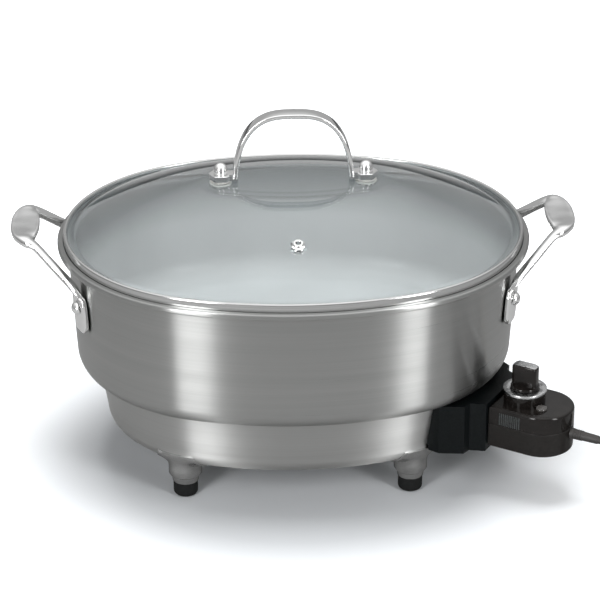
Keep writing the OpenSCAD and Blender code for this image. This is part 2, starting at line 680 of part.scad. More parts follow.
// The lid's handle: an arched strap with a hexagon foot at each end
foot_low = crown_z + gasket_t;
function arch_point(a, off) =
    let (q = 2 / arch_square, h = arch_h - hex_t, c = cos(a), s = sin(a),
        z = h * pow(s, q), x = sign(c) * pow(abs(c), q) * (arch_foot - arch_lean * z / h),
        b = a + (a < 90 ? 1 : -1), s2 = sin(b), c2 = cos(b),
        z2 = h * pow(s2, q), x2 = sign(c2) * pow(abs(c2), q) * (arch_foot - arch_lean * z2 / h),
        way = unit((a < 90 ? 1 : -1) * [x2 - x, z2 - z]))
    [x + off * way[1], z - off * way[0]];
arch_angles = [for (i = [0:36]) i < 18 ? 3 + 87 * pow(i / 18, 0.8) : 180 - (3 + 87 * pow((36 - i) / 18, 0.8))];
module lid_handle() {
    foot_in = arch_foot - arch_t / 2;
    color([0.74, 0.75, 0.76]) translate([0, 0, foot_low]) difference() {
        union() {
            translate([0, arch_w / 2, hex_t]) rotate([90, 0, 0]) linear_extrude(arch_w) polygon(concat(
                [[arch_foot + arch_t / 2, -1]],
                [for (a = arch_angles) arch_point(a, arch_t / 2)],
                [[-arch_foot - arch_t / 2, -1], [-arch_foot + arch_t / 2, -1]],
                [for (i = [36:-1:0]) arch_point(arch_angles[i], -arch_t / 2)],
                [[arch_foot - arch_t / 2, -1]]));
            for (side = [-1, 1]) {
                translate([side * bolt_x, 0, 0]) cylinder(d = hex_d, h = hex_t, $fn = 6);
                translate([side > 0 ? foot_in : -bolt_x, -hex_d / 4, 0]) cube([bolt_x - foot_in, hex_d / 2, hex_t]);
            }
        }
        for (side = [-1, 1])
            translate([side * bolt_x, 0, -1]) cylinder(d = bolt_d + 2 * seat_gap, h = hex_t + 2, $fn = 32);
    }
}

// Soft gaskets between the glass and the handle's feet
module ring_disc(outer, inner, h) {
    difference() {
        cylinder(d = outer, h = h, $fn = 48);
        translate([0, 0, -1]) cylinder(d = inner, h = h + 2, $fn = 32);
    }
}
module lid_gaskets() {
    color([0.12, 0.12, 0.12]) at_bolts() ring_disc(hex_d * 0.85, bolt_d + 2 * seat_gap, gasket_t);
}
module lid_inner_gaskets() {
    color([0.12, 0.12, 0.12]) at_bolts() translate([0, 0, -glass_t - gasket_t])
        ring_disc(washer_d, bolt_d + 2 * seat_gap, gasket_t);
}
washer_t = 1.4;
washer_low = -glass_t - gasket_t - washer_t;
module lid_washers() {
    color([0.7, 0.7, 0.71]) at_bolts() translate([0, 0, washer_low])
        ring_disc(washer_d - 1, bolt_d + 2 * seat_gap, washer_t);
}

// Bolts that hold the handle, with low round heads under the glass
bolt_head_h = 2.6;
bolt_top = gasket_t + hex_t + cap_h;
module lid_screws() {
    color([0.7, 0.7, 0.71]) at_bolts() {
        translate([0, 0, washer_low - bolt_head_h]) cylinder(d = bolt_d * 2, h = bolt_head_h, $fn = 32);
        translate([0, 0, washer_low - tiny]) cylinder(d = bolt_d, h = bolt_top - washer_low, $fn = 32);
    }
}

// Cap nuts: a straight part with a dome, and a blind hole for the bolt
module lid_cap_nuts() {
    color([0.8, 0.8, 0.81]) at_bolts() translate([0, 0, gasket_t + hex_t]) rotate_extrude() polygon(concat(
        [[bolt_d / 2 + run_gap, 0], [cap_d / 2, 0]],
        arc(0, cap_h, cap_d / 2, 0, 90, 8),
        [[0, cap_h + 0.6], [bolt_d / 2 + run_gap, cap_h + 0.6]]));
}

// The steam vent: a hexagon eyelet through the glass, its gasket and its nut
module vent_eyelet() {
    color([0.78, 0.79, 0.8]) at_vent() difference() {
        union() {
            translate([0, 0, 1]) cylinder(d = vent_d, h = 1.6, $fn = 6);
            translate([0, 0, 2.5]) cylinder(d1 = vent_d * 0.8, d2 = vent_tube + 1, h = 1.4, $fn = 32);
            translate([0, 0, -glass_t - 3.4]) cylinder(d = vent_tube, h = glass_t + 5, $fn = 32);
        }
        translate([0, 0, -glass_t - 4]) cylinder(d = vent_hole, h = glass_t + 10, $fn = 32);
    }
}
module vent_gasket() {
    color([0.8, 0.8, 0.78]) at_vent() translate([0, 0, 0.3]) ring_disc(vent_d - 1, vent_tube + 2 * run_gap, 0.7);
}
module vent_nut() {
    color([0.7, 0.7, 0.71]) at_vent() translate([0, 0, -glass_t - 2.6]) difference() {
        cylinder(d = vent_d, h = 2.3, $fn = 6);
        translate([0, 0, -1]) cylinder(d = vent_tube + 2 * run_gap, h = 5, $fn = 32);
    }
}

// The socket shroud on the base: a stepped block with a recess that takes the control's nose
recess_w = nose_w + 2 * slide_gap;
nose_low = body_low + 4;
recess_low = nose_low - 2 * slide_gap;
recess_top = nose_low + nose_h + 2 * slide_gap;
pin_start = mouth_u - nose_l - 6;
block_back = pin_start - 12;
screw_w = 30;
shroud_screw_d = 3;
shroud_screw_l = 18;
shroud_head_d = 7;
shroud_head_h = 2.4;
function base_at(z) = base_in + base_draft * (step_z - z) / (step_z - base_z - base_r);
screw_wall = end_r - base_at(probe_axis) - base_t;
screw_side = screw_w + shroud_head_d / 2;
screw_u = sqrt(screw_wall * screw_wall - screw_side * screw_side) - seat_gap;
module socket_shroud() {
    top_r = end_r - base_in + seat_gap;
    low_r = end_r - base_low_in + seat_gap;
    wall_u = end_r - base_low_in - 20;
    shoulder = mouth_u - shoulder_u;
    color([0.08, 0.1, 0.1]) difference() {
        on_axis() translate([0, 0, shroud_low]) linear_extrude(shroud_h) polygon([
            [wall_u, -shoulder_w - 6], [wall_u + 20, -shoulder_w - 9], [shoulder, -shoulder_w],
            [shoulder + 1, -mouth_w - 5], [mouth_u, -mouth_w], [mouth_u, mouth_w],
            [shoulder + 1, mouth_w + 5], [shoulder, shoulder_w], [wall_u + 20, shoulder_w + 9],
            [wall_u, shoulder_w + 6]]);
        translate([end_c, 0, leg_top])
            cylinder(r1 = low_r, r2 = top_r, h = step_z - leg_top, $fn = 180);
        translate([end_c, 0, min(shroud_low, leg_top) - 1])
            cylinder(r = low_r, h = max(0, leg_top - shroud_low) + 1 + tiny, $fn = 180);
        intersection() {
            at_leg(1, -1) translate([0, 0, shroud_low - 1])
                cylinder(d = leg_d + 2 * leg_flare + 2 * slide_gap, h = ear_top + seat_gap - shroud_low + 1, $fn = 48);
            translate([end_c, 0, shroud_low - 1]) cylinder(r = low_r + leg_ear + seat_gap, h = 30, $fn = 180);
        }
        on_axis() translate([0, 0, recess_low]) translate([0, -recess_w, 0])
            cube([mouth_u + 1, 2 * recess_w, recess_top - recess_low]);
        on_axis() for (side = [-1, 1])
            translate([0, side * screw_w, probe_axis]) rotate([0, 90, 0])
                cylinder(d = shroud_screw_d + 2 * seat_gap, h = screw_u + shroud_screw_l, $fn = 32);
    }
}
module shroud_screws() {
    color([0.7, 0.7, 0.71]) on_axis() for (side = [-1, 1])
        translate([screw_u - shroud_head_h, side * screw_w, probe_axis]) rotate([0, 90, 0]) {
            cylinder(d = shroud_head_d, h = shroud_head_h, $fn = 32);
            cylinder(d = shroud_screw_d, h = shroud_screw_l, $fn = 32);
        }
}

// The ceramic block that closes the recess and carries the pins
module along_axis(y, z, u0, u1, d) {
    on_axis() translate([u0, y, z]) rotate([0, 90, 0]) cylinder(d = d, h = u1 - u0, $fn = 32);
}
module terminal_block() {
    color([0.85, 0.83, 0.78]) difference() {
        on_axis() translate([block_back, -recess_w + seat_gap, recess_low + seat_gap])
            cube([pin_start - block_back, 2 * (recess_w - seat_gap), recess_top - recess_low - 2 * seat_gap]);
        along_axis(0, probe_axis, block_back - 1, pin_start + 1, probe_d + 2 * slide_gap);
        for (side = [-1, 1])
            along_axis(side * pin_w, pin_z, block_back - 1, pin_start + 1, pin_d + 2 * run_gap);
    }
}
module terminal_pins() {
    color([0.78, 0.76, 0.6]) for (side = [-1, 1])
        union() {
            along_axis(side * pin_w, pin_z, block_back - 4, pin_start + pin_l, pin_d);
            along_axis(side * pin_w, pin_z, block_back - 3, block_back - seat_gap, pin_d + 3);
        }
}

// The guide under the heat plate that the probe slides into
guide_d = 13;
guide_tip = mouth_u - nose_l - probe_l - 5;
guide_l = 26;
module probe_guide() {
    color([0.7, 0.7, 0.71]) difference() {
        union() {
            along_axis(0, probe_axis, guide_tip, guide_tip + guide_l, guide_d);
            on_axis() translate([guide_tip, -guide_d / 2 + 1, probe_axis])
                cube([guide_l, guide_d - 2, plate_low - probe_axis]);
        }
        along_axis(0, probe_axis, guide_tip + 3, guide_tip + guide_l + 1, probe_d + 2 * slide_gap);
    }
}

// The control's housing, in plan: a straight neck with a round end
body_u = mouth_u + body_l;
neck_u = mouth_u + 0.8;
split_z = body_top - upper_h;
cord_z = body_low + 16;
module body_plan(inset) {
    translate([body_u, 0]) circle(r = body_r - inset);
    translate([neck_u + inset, -body_r + inset]) square([body_l, 2 * (body_r - inset)]);
}
module body_slab(inset, z0, z1) {
    on_axis() translate([0, 0, z0]) linear_extrude(z1 - z0) body_plan(inset);
}
case_posts = [[neck_u + 6, 18], [neck_u + 6, -18], [body_u + 14, 0]];
case_screw_d = 2.5;
case_screw_l = 14;
case_head_d = 6;
case_head_h = 1.4;
module at_posts() {
    on_axis() for (p = case_posts) translate([p[0], p[1], 0]) children();
}
module at_dial() {
    on_axis() translate([dial_u, 0, 0]) children();
}
module control_upper() {
    color([0.09, 0.07, 0.06]) difference() {
        union() {
            difference() {
                union() {
                    body_slab(0, split_z, body_top - 1.6);
                    body_slab(1.3, body_top - 1.7, body_top);
                }
                body_slab(case_t, split_z - 1, body_top - case_t);
            }
            at_dial() translate([0, 0, body_top - case_t]) cylinder(d = dial_d - 1.5, h = case_t + collar_h);
            at_posts() translate([0, 0, body_low + case_t + seat_gap])
                cylinder(d = 7, h = body_h - 2 * case_t, $fn = 32);
        }
        at_dial() translate([0, 0, split_z]) cylinder(d = shaft_d + 2 * run_gap, h = 60, $fn = 48);
        at_posts() translate([0, 0, body_low]) cylinder(d = case_screw_d + 0.1, h = case_screw_l + 2, $fn = 32);
        at_lens() translate([0, 0, -4]) cylinder(d = lens_d - 2 + 2 * seat_gap, h = 8, $fn = 32);
    }
}
module control_lower() {
    color([0.1, 0.08, 0.07]) difference() {
        body_slab(0, body_low, split_z);
        body_slab(case_t, body_low + case_t, split_z + 1);
        at_posts() {
            translate([0, 0, body_low - 1]) cylinder(d = case_screw_d + 0.9, h = case_t + 2, $fn = 32);
            translate([0, 0, body_low - 1]) cylinder(d = case_head_d + 2 * seat_gap, h = 2, $fn = 32);
        }
        along_axis(0, cord_z, body_u, body_u + body_r + 5, relief_neck + 2 * seat_gap);
    }
}
module control_screws() {
    color([0.7, 0.7, 0.71]) at_posts() {
        translate([0, 0, body_low - 0.4]) cylinder(d = case_head_d, h = case_head_h, $fn = 32);
        translate([0, 0, body_low - 0.4]) cylinder(d = case_screw_d, h = case_screw_l, $fn = 32);
    }
}

// The nose that carries the probe and the sleeves into the shroud
module control_nose() {
    color([0.1, 0.08, 0.07]) difference() {
        on_axis() translate([mouth_u - nose_l, -nose_w, nose_low])
            cube([nose_l + neck_u - mouth_u, 2 * nose_w, nose_h]);
        along_axis(0, probe_axis, mouth_u - nose_l - 1, neck_u - 2, probe_d + 2 * run_gap);
        for (side = [-1, 1])
            along_axis(side * pin_w, pin_z, mouth_u - nose_l - 1, neck_u - 2, sleeve_d + 2 * run_gap);
    }
}
sleeve_d = pin_d + 3;
module terminal_sleeves() {
    color([0.75, 0.73, 0.65]) for (side = [-1, 1])
        difference() {
            along_axis(side * pin_w, pin_z, mouth_u - nose_l + 0.5, neck_u - 2, sleeve_d);
            along_axis(side * pin_w, pin_z, mouth_u - nose_l - 1, neck_u - 3.5, pin_d + 2 * run_gap);
        }
}
module temperature_probe() {
    tip = mouth_u - nose_l - probe_l;
    color([0.75, 0.75, 0.76]) union() {
        along_axis(0, probe_axis, tip + 3, neck_u - 2.1, probe_d);
        on_axis() translate([tip, 0, probe_axis]) rotate([0, 90, 0])
            cylinder(d1 = probe_d * 0.5, d2 = probe_d, h = 3, $fn = 32);
    }
}

// The switch inside the control that the dial's shaft and the probe work
module thermostat() {
    color([0.8, 0.79, 0.75]) on_axis() translate([neck_u + case_t + 1, -8, body_low + case_t])
        cube([26, 16, 10.5]);
}

// The indicator lens: a smoky button with a stem in the housing
lens_reach = (dial_d - 1.5 + lens_d) / 2 + slide_gap;
lens_u = dial_u + sqrt(lens_reach * lens_reach - lens_w * lens_w);
module at_lens() {
    on_axis() translate([lens_u, -lens_w, body_top]) children();
}
module indicator_lens() {
    color([0.6, 0.58, 0.56, 0.7]) at_lens() rotate_extrude() polygon(concat(
        [[0, -3], [lens_d / 2 - 1, -3], [lens_d / 2 - 1, 0], [lens_d / 2, 0], [lens_d / 2, 0.8]],
        [for (i = [1:5]) [lens_d / 2 * cos(18 * i), 0.8 + 1.8 * sin(18 * i)]]));
}

// The strain relief: a flange inside the housing, a neck in its wall and a tapered sleeve
relief_neck = 6.8;
relief_u = body_u + body_r;
module strain_relief() {
    color([0.07, 0.07, 0.07]) on_axis() translate([relief_u, 0, cord_z]) rotate([0, 90, 0]) rotate_extrude()
        polygon([[0, -case_t - 2.4], [5.5, -case_t - 2.4], [5.5, -case_t - 0.6], [relief_neck / 2, -case_t - 0.6],
            [relief_neck / 2, seat_gap], [relief_d / 2, seat_gap], [relief_d / 2, 3], [cord_d / 2 + 0.4, relief_l],
            [0, relief_l]]);
}

// The dial: printed ring, finger bar and shaft
ring_low = body_top + collar_h + 0.4;
ring_top = ring_low + dial_t;
module dial_ring() {
    color([0.75, 0.76, 0.77]) at_dial() translate([0, 0, ring_low]) difference() {
        cylinder(d = dial_d, h = dial_t);
        translate([0, 0, -1]) cylinder(d = shaft_d + 2 * seat_gap, h = dial_t + 2, $fn = 48);
    }
}
module dial_knob() {
    color([0.1, 0.09, 0.08]) at_dial() difference() {
        union() {
            translate([0, 0, ring_top + tiny]) cylinder(d = knob_l + 2, h = 2.5);
            translate([0, 0, ring_top + tiny]) intersection() {
                cylinder(d = knob_l, h = knob_h);
                translate([-knob_l / 2, -knob_t / 2, 0]) cube([knob_l, knob_t, knob_h]);
                translate([0, knob_t, knob_h - knob_l * 1.4]) rotate([90, 0, 0]) cylinder(r = knob_l * 1.4, h = 2 * knob_t);
            }
        }
        translate([0, 0, ring_top - 1]) cylinder(d = shaft_d + 2 * run_gap, h = 13, $fn = 48);
    }
}
module dial_shaft() {
    color([0.75, 0.75, 0.76]) at_dial() translate([0, 0, body_low + case_t + 11])
        cylinder(d = shaft_d, h = ring_top + 11.5 - body_low - case_t - 11, $fn = 48);
}

// A round tube swept along points, as one closed surface
function tube_frame(path, i) =
    let (n = len(path) - 1, ahead = unit(path[min(n, i + 1)] - path[max(0, i - 1)]),
        side = unit(cross(ahead, [0, 0, 1])))
    [side, cross(side, ahead)];
module swept_tube(path, d, sides) {
    n = len(path) - 1;
    polyhedron(
        points = [for (i = [0:n]) let (f = tube_frame(path, i)) for (j = [0:sides - 1])
            path[i] + d / 2 * (f[0] * cos(360 * j / sides) + f[1] * sin(360 * j / sides))],
        faces = concat(
            [[for (j = [0:sides - 1]) j], [for (j = [sides - 1:-1:0]) n * sides + j]],
            [for (k = [0:n - 1], j = [0:sides - 1])
                [k * sides + (j + 1) % sides, k * sides + j, (k + 1) * sides + j]],
            [for (k = [0:n - 1], j = [0:sides - 1])
                [k * sides + (j + 1) % sides, (k + 1) * sides + j, (k + 1) * sides + (j + 1) % sides]]));
}

// The cord's free stretch: from the strain relief down to the table and round to the coil
relief_end = [end_c, 0, cord_z] + (relief_u + relief_l) * [cos(ctrl_a), sin(ctrl_a), 0];
relief_way = [cos(ctrl_a), sin(ctrl_a), 0];
coil_c = [292, -98];
coil_turns = 4;
coil_r = 33;
coil_pitch = cord_d + 0.8;
coil_lift = cord_d + 0.7;
coil_out = coil_r + coil_turns / 4 * coil_pitch;
coil_end = 18;
low_cord = cord_d / 2;
cord_route = concat(
    [relief_end, relief_end + relief_way * cord_d],
    [[256, -129, 59], [270, -137, 50], [284, -145, 37], [298, -151, 23], [312, -151, 11], [323, -142, 4.5],
        [330, -128, low_cord], [coil_c[0] + coil_out, -114, low_cord]],
    [[coil_c[0] + coil_out, coil_c[1] - cord_d - cord_d, low_cord],
        [coil_c[0] + coil_out, coil_c[1] - cord_d, low_cord]]);
function route_at(list, u) =
    let (n = len(list) - 1, i = min(n - 1, floor(u)), t = u - i)
    smooth(list[max(0, i - 1)], list[i], list[i + 1], list[min(n, i + 2)], t);
cord_steps = 4;
cord_path = [for (i = [0:(len(cord_route) - 1) * cord_steps]) route_at(cord_route, i / cord_steps)];
module power_cord() {
    color([0.06, 0.06, 0.06]) swept_tube(cord_path, cord_d, 8);
}

// The cord's coil: it spirals in, climbs one layer where it turns, and spirals out again
function coil_point(a) =
    let (half = coil_turns * 180, r = coil_out - coil_pitch * min(a, 2 * half - a) / 360,
        rise = min(1, max(0, (a - half + 90) / 180)))
    [coil_c[0] + r * cos(a), coil_c[1] + r * sin(a), low_cord + coil_lift * rise];
coil_step = 15;
coil_path = concat(
    [[coil_c[0] + coil_out, coil_c[1] - cord_d, low_cord]],
    [for (a = [0:coil_step:coil_turns * 360]) coil_point(a)],
    [[coil_c[0] + coil_out, coil_c[1] + cord_d, low_cord + coil_lift],
        [coil_c[0] + coil_out, coil_c[1] + coil_end, low_cord + coil_lift]]);
function coil_gap() = min([for (i = [0:3:len(coil_path) - 1], j = [0:3:len(coil_path) - 1])
    if (j > i + 12) norm(coil_path[i] - coil_path[j])]) - cord_d;
echo(least_gap_in_coil = coil_gap());
module cord_coil() {
    color([0.06, 0.06, 0.06]) swept_tube(coil_path, cord_d, 6);
}

// The plug: a tapered sleeve, a moulded body that lies on the table, and two flat blades
plug_z = low_cord + coil_lift;
plug_y = coil_c[1] + coil_end;
plug_x = coil_c[0] + coil_out;
plug_sleeve = 18;
module plug_face(w, h, r) {
    for (sx = [-1, 1], sz = [-1, 1])
        translate([sx * (w / 2 - r), 0, sz * (h / 2 - r)]) rotate([-90, 0, 0]) cylinder(r = r, h = 1, $fn = 24);
}
module plug_body() {
    color([0.07, 0.07, 0.07]) translate([plug_x, plug_y, plug_z]) union() {
        rotate([-90, 0, 0]) cylinder(d1 = cord_d + 1, d2 = cord_d + 4, h = plug_sleeve + 2, $fn = 32);
        translate([0, plug_sleeve, 0]) hull() {
            plug_face(plug_w * 0.6, plug_z * 1.4, 4);
            translate([0, 8, 0]) plug_face(plug_w, plug_z * 2, 5);
            translate([0, plug_l - 1, 0]) plug_face(plug_w, plug_z * 2, 5);
        }
    }
}
module plug_blades() {
    color([0.78, 0.72, 0.5]) for (side = [-1, 1])
        translate([plug_x + side * blade_gap / 2, plug_y + plug_sleeve + plug_l + tiny, plug_z]) difference() {
            translate([-0.75, 0, -3.15]) cube([1.5, blade_l, 6.3]);
            translate([-2, blade_l - 4, 0]) rotate([0, 90, 0]) cylinder(d = 3, h = 4, $fn = 32);
        }
}

outer_shell();
cooking_pan();
heat_plate();
heating_tube();
tube_seals();
base_skirt();
bottom_cover();
cover_screws();
leg_front_left();
leg_front_right();
leg_rear_left();
leg_rear_right();
foot_front_left();
foot_front_right();
foot_rear_left();
foot_rear_right();
foot_screws();
handle_left();
handle_right();
rivets_left();
rivets_right();
socket_shroud();
shroud_screws();
terminal_block();
terminal_pins();
probe_guide();
lid_glass();
lid_band();
lid_handle();
lid_gaskets();
lid_inner_gaskets();
lid_washers();
lid_screws();
lid_cap_nuts();
vent_eyelet();
vent_gasket();
vent_nut();
control_upper();
control_lower();
control_nose();
control_screws();
thermostat();
temperature_probe();
terminal_sleeves();
indicator_lens();
strain_relief();
dial_ring();
dial_knob();
dial_shaft();
power_cord();
cord_coil();
plug_body();
plug_blades();
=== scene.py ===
# An oval electric skillet, finished piece by piece round the imported model. The imported model is
# loaded first, as the fixed frame that every piece is fitted to.
import math

import bmesh
import bpy
from mathutils import Matrix, Quaternion, Vector


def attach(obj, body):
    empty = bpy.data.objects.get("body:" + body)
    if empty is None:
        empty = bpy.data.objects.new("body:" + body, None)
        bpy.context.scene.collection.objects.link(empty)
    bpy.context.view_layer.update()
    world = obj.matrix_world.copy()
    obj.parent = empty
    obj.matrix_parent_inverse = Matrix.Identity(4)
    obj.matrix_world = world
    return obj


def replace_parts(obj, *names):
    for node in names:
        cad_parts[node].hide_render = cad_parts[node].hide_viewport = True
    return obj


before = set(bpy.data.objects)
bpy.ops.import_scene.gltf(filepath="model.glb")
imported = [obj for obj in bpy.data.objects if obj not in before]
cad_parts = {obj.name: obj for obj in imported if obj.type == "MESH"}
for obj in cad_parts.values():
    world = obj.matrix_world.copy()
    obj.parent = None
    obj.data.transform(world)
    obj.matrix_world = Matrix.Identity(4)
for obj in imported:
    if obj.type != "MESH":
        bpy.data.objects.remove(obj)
scene = bpy.context.scene
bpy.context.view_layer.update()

# The camera stands a little to the left of the front and looks down 25 degrees on the skillet,
# through a long lens.
camera = bpy.data.objects.new("camera", bpy.data.cameras.new("camera"))
camera.data.lens = 163.68
camera.data.sensor_width = 36
camera.data.clip_end = 50
camera.location = (-0.08176, -1.9922, 1.12376)
looks_at = Vector((0.00516, 0, 0.13284))
roll = math.radians(-0.0874)
camera.rotation_mode = "QUATERNION"
straight = (looks_at - camera.location).to_track_quat("-Z", "Y")
camera.rotation_quaternion = straight @ Quaternion((0, 0, 1), roll)
scene.collection.objects.link(camera)
scene.camera = camera


# The cord is a round black rubber lead. It leaves the control's strain relief, drops to the
# table, runs round to a neat two-layer coil beside the skillet, and ends in the plug. All sizes
# here and below are in millimetres, and a piece's mesh is brought to metres when it is finished.
def add(tree, kind, given=None, **settings):
    """Adds a node to a tree, with its settings, and with values or links on its sockets."""
    made = tree.nodes.new(kind)
    for key, value in settings.items():
        setattr(made, key, value)
    for key, value in (given or {}).items():
        if isinstance(value, bpy.types.NodeSocket):
            tree.links.new(value, made.inputs[key])
        else:
            made.inputs[key].default_value = value
    return made


def surface(name, colour, **given):
    """A new material with its one shader: the material, its tree and the shader's sockets."""
    made = bpy.data.materials.new(name)
    made.use_nodes = True
    tree = made.node_tree
    shader = tree.nodes["Principled BSDF"]
    shader.inputs["Base Color"].default_value = (*colour, 1)
    for key, value in given.items():
        shader.inputs[key.replace("_", " ")].default_value = value
    made.diffuse_color = (*colour, 1)
    return made, tree, shader.inputs


def grain(tree, scale, detail=3, source="Object", **given):
    """A noise pattern on the piece's own coordinates, with one scale or one for each of them."""
    if source == "Object":
        where = add(tree, "ShaderNodeTexCoord").outputs["Object"]
    else:
        where = add(tree, "ShaderNodeUVMap", uv_map=source).outputs["UV"]
    scales = scale if isinstance(scale, tuple) else (scale, scale, scale)
    placed = add(tree, "ShaderNodeMapping", {"Vector": where, "Scale": scales}).outputs["Vector"]
    given = {"Vector": placed, "Scale": 1.0, "Detail": detail, **given}
    return add(tree, "ShaderNodeTexNoise", given).outputs[0]


def tones(tree, pattern, dark, light, start=0.3, end=0.7):
    """Colours from dark to light along a pattern's strength."""
    ramp = add(tree, "ShaderNodeValToRGB", {"Fac": pattern})
    for mark, place, colour in zip(ramp.color_ramp.elements, (start, end), (dark, light)):
        mark.position = place
        mark.color = (*colour, 1)
    return ramp.outputs["Color"]


def spread(tree, pattern, low, high, start=0.3, end=0.7):
    """A pattern's strength brought between two values."""
    given = {"Value": pattern, "From Min": start, "From Max": end, "To Min": low, "To Max": high}
    return add(tree, "ShaderNodeMapRange", given).outputs["Result"]


def relief(tree, sockets, height, depth, strength):
    """Bumps on a surface, with their depth in metres."""
    given = {"Height": height, "Distance": depth, "Strength": strength}
    tree.links.new(add(tree, "ShaderNodeBump", given).outputs["Normal"], sockets["Normal"])


def grainy(
    name,
    dark,
    light,
    rough,
    scale,
    depth=0,
    strength=0.3,
    detail=4,
    stops=(0.3, 0.7),
    source="Object",
    bumps=None,
    **given,
):
    """A material whose tone, roughness and relief follow one fine noise pattern."""
    middle = tuple((a + b) / 2 for a, b in zip(dark, light))
    made, tree, sockets = surface(name, middle, **given)
    pattern = grain(tree, scale, detail, source)
    tree.links.new(tones(tree, pattern, dark, light, *stops), sockets["Base Color"])
    if rough:
        tree.links.new(spread(tree, pattern, *rough), sockets["Roughness"])
    if depth:
        raised = grain(tree, *bumps, source) if bumps else pattern
        relief(tree, sockets, raised, depth, strength)
    return made


def mesh_data(name, mesh):
    """Turns finished mesh work into mesh data."""
    data = bpy.data.meshes.new(name)
    mesh.to_mesh(data)
    mesh.free()
    return data


metres = Matrix.Scale(0.001, 4)


def piece(name, data, body, sharp, place=Matrix.Identity(4)):
    """Makes mesh data in millimetres a piece that rides on a body."""
    data.transform(metres @ place)
    data.shade_smooth()
    data.set_sharp_from_angle(angle=math.radians(sharp))
    made = bpy.data.objects.new(name, data)
    scene.collection.objects.link(made)
    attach(made, body)
    return made


def finished(name, mesh, body, material, sharp=35):
    """Makes finished mesh work a piece that rides on a body."""
    data = mesh_data(name, mesh)
    data.materials.append(material)
    return piece(name, data, body, sharp)


def smooth_run(posts, steps):
    """Points on one smooth curve through the posts."""
    run = []
    last = len(posts) - 1
    for i in range(last):
        a, b, c, d = (posts[k] for k in (max(0, i - 1), i, i + 1, min(last, i + 2)))
        for s in range(steps):
            t = s / steps
            curve = (2 * a - 5 * b + 4 * c - d) * t * t + (3 * b - a - 3 * c + d) * t**3
            run.append(0.5 * (2 * b + (c - a) * t + curve))
    return run + [posts[-1]]


def outwards(mesh):
    """Turns the faces of closed mesh work outwards."""
    bmesh.ops.recalc_face_normals(mesh, faces=mesh.faces)


def skin(mesh, rings, capped=True, mapped=None):
    """Faces between rings of points, and over both ends, with a UV map where one is given."""
    count = len(rings[0])
    if mapped:
        along = mesh.loops.layers.uv.get("along") or mesh.loops.layers.uv.new("along")
    for i, (low, high) in enumerate(zip(rings, rings[1:])):
        for j in range(count):
            k = (j + 1) % count
            face = mesh.faces.new([low[j], low[k], high[k], high[j]])
            if mapped:
                spots = ((i, j), (i, j + 1), (i + 1, j + 1), (i + 1, j))
                for loop, spot in zip(face.loops, spots):
                    loop[along].uv = mapped(*spot)
    if capped:
        mesh.faces.new(rings[0])
        mesh.faces.new(rings[-1])
    outwards(mesh)


def tube(mesh, path, radii, sides):
    """A closed tube along a path, with its length and its girth as its UV map."""
    reach = [0.0]
    for a, b in zip(path, path[1:]):
        reach.append(reach[-1] + (b - a).length)
    across = Vector((0, 0, 1))
    rings = []
    for i, (point, r) in enumerate(zip(path, radii)):
        ahead = (path[min(i + 1, len(path) - 1)] - path[max(i - 1, 0)]).normalized()
        across = (across - ahead * across.dot(ahead)).normalized()
        other = ahead.cross(across)
        turns = [2 * math.pi * j / sides for j in range(sides)]
        spots = [point + r * (math.cos(a) * across + math.sin(a) * other) for a in turns]
        rings.append([mesh.verts.new(v) for v in spots])
    skin(mesh, rings, mapped=lambda i, j: (reach[i], j * 6 * math.pi / sides))


end_x = 48
axis_turn = math.radians(-32)
out_way = Vector((math.cos(axis_turn), math.sin(axis_turn), 0))
side_way = Vector((-math.sin(axis_turn), math.cos(axis_turn), 0))


def on_axis(u, w, z):
    """A place on the control: u out from the centre of the pan's end, w across, z up."""
    return Vector((end_x, 0, z)) + out_way * u + side_way * w


relief_z = 62
relief_end = on_axis(222.5, 0, relief_z)
route = [relief_end, relief_end + out_way * 6]
for place in (
    (256, -129, 59),
    (270, -137, 50),
    (284, -145, 37),
    (298, -151, 23),
    (312, -151, 11),
    (323, -142, 4.5),
    (330, -128, 3),
    (331.8, -114, 3),
    (331.8, -110, 3),
    (331.8, -104, 3),
):
    route.append(Vector(place))
cord_r = 3
coil_middle = Vector((292, -98, cord_r))
coil_out = 39.8
coil_turns = 4
turn_steps = 24
turn_pitch = 6.8
layer_lift = 6.7
coil = []
last = coil_turns * turn_steps
for step in range(last + 1):
    turned_by = 360 / turn_steps * step
    a = math.radians(turned_by)
    r = coil_out - turn_pitch * min(step, last - step) / turn_steps
    rise = min(1, max(0, (turned_by - 180 * coil_turns + 90) / 180))
    coil.append(coil_middle + Vector((r * math.cos(a), r * math.sin(a), layer_lift * rise)))
plug_end = coil[-1] + Vector((0, 18, 0))
cord_path = smooth_run(route, 3) + coil + [coil[-1] + Vector((0, 6, 0)), plug_end]

cord_rubber = grainy(
    "cord rubber", (0.022, 0.020, 0.019), (0.04, 0.037, 0.035), (0.42, 0.6), (0.05, 0.4, 1),
    0.00004, 0.35, detail=3, source="along", bumps=((1.5, 4, 1), 3),
)
mesh = bmesh.new()
centres = smooth_run(cord_path, 2)
tube(mesh, centres, [cord_r] * len(centres), 20)
power_lead = finished("power_lead", mesh, "control", cord_rubber, 32)
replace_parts(power_lead, "power_cord", "cord_coil")


# The plug is moulded on the cord's end: a ribbed, tapering sleeve, a rounded body with a grip on
# both faces, and two flat brass blades.
def rounded(half_w, half_h, r, steps):
    """Points round a rectangle with round corners."""
    points = []
    for sx, sy, start in ((1, 1, 0), (-1, 1, 90), (-1, -1, 180), (1, -1, 270)):
        for i in range(steps + 1):
            a = math.radians(start + 90 * i / steps)
            x = sx * (half_w - r) + r * math.cos(a)
            points.append((x, sy * (half_h - r) + r * math.sin(a)))
    return points


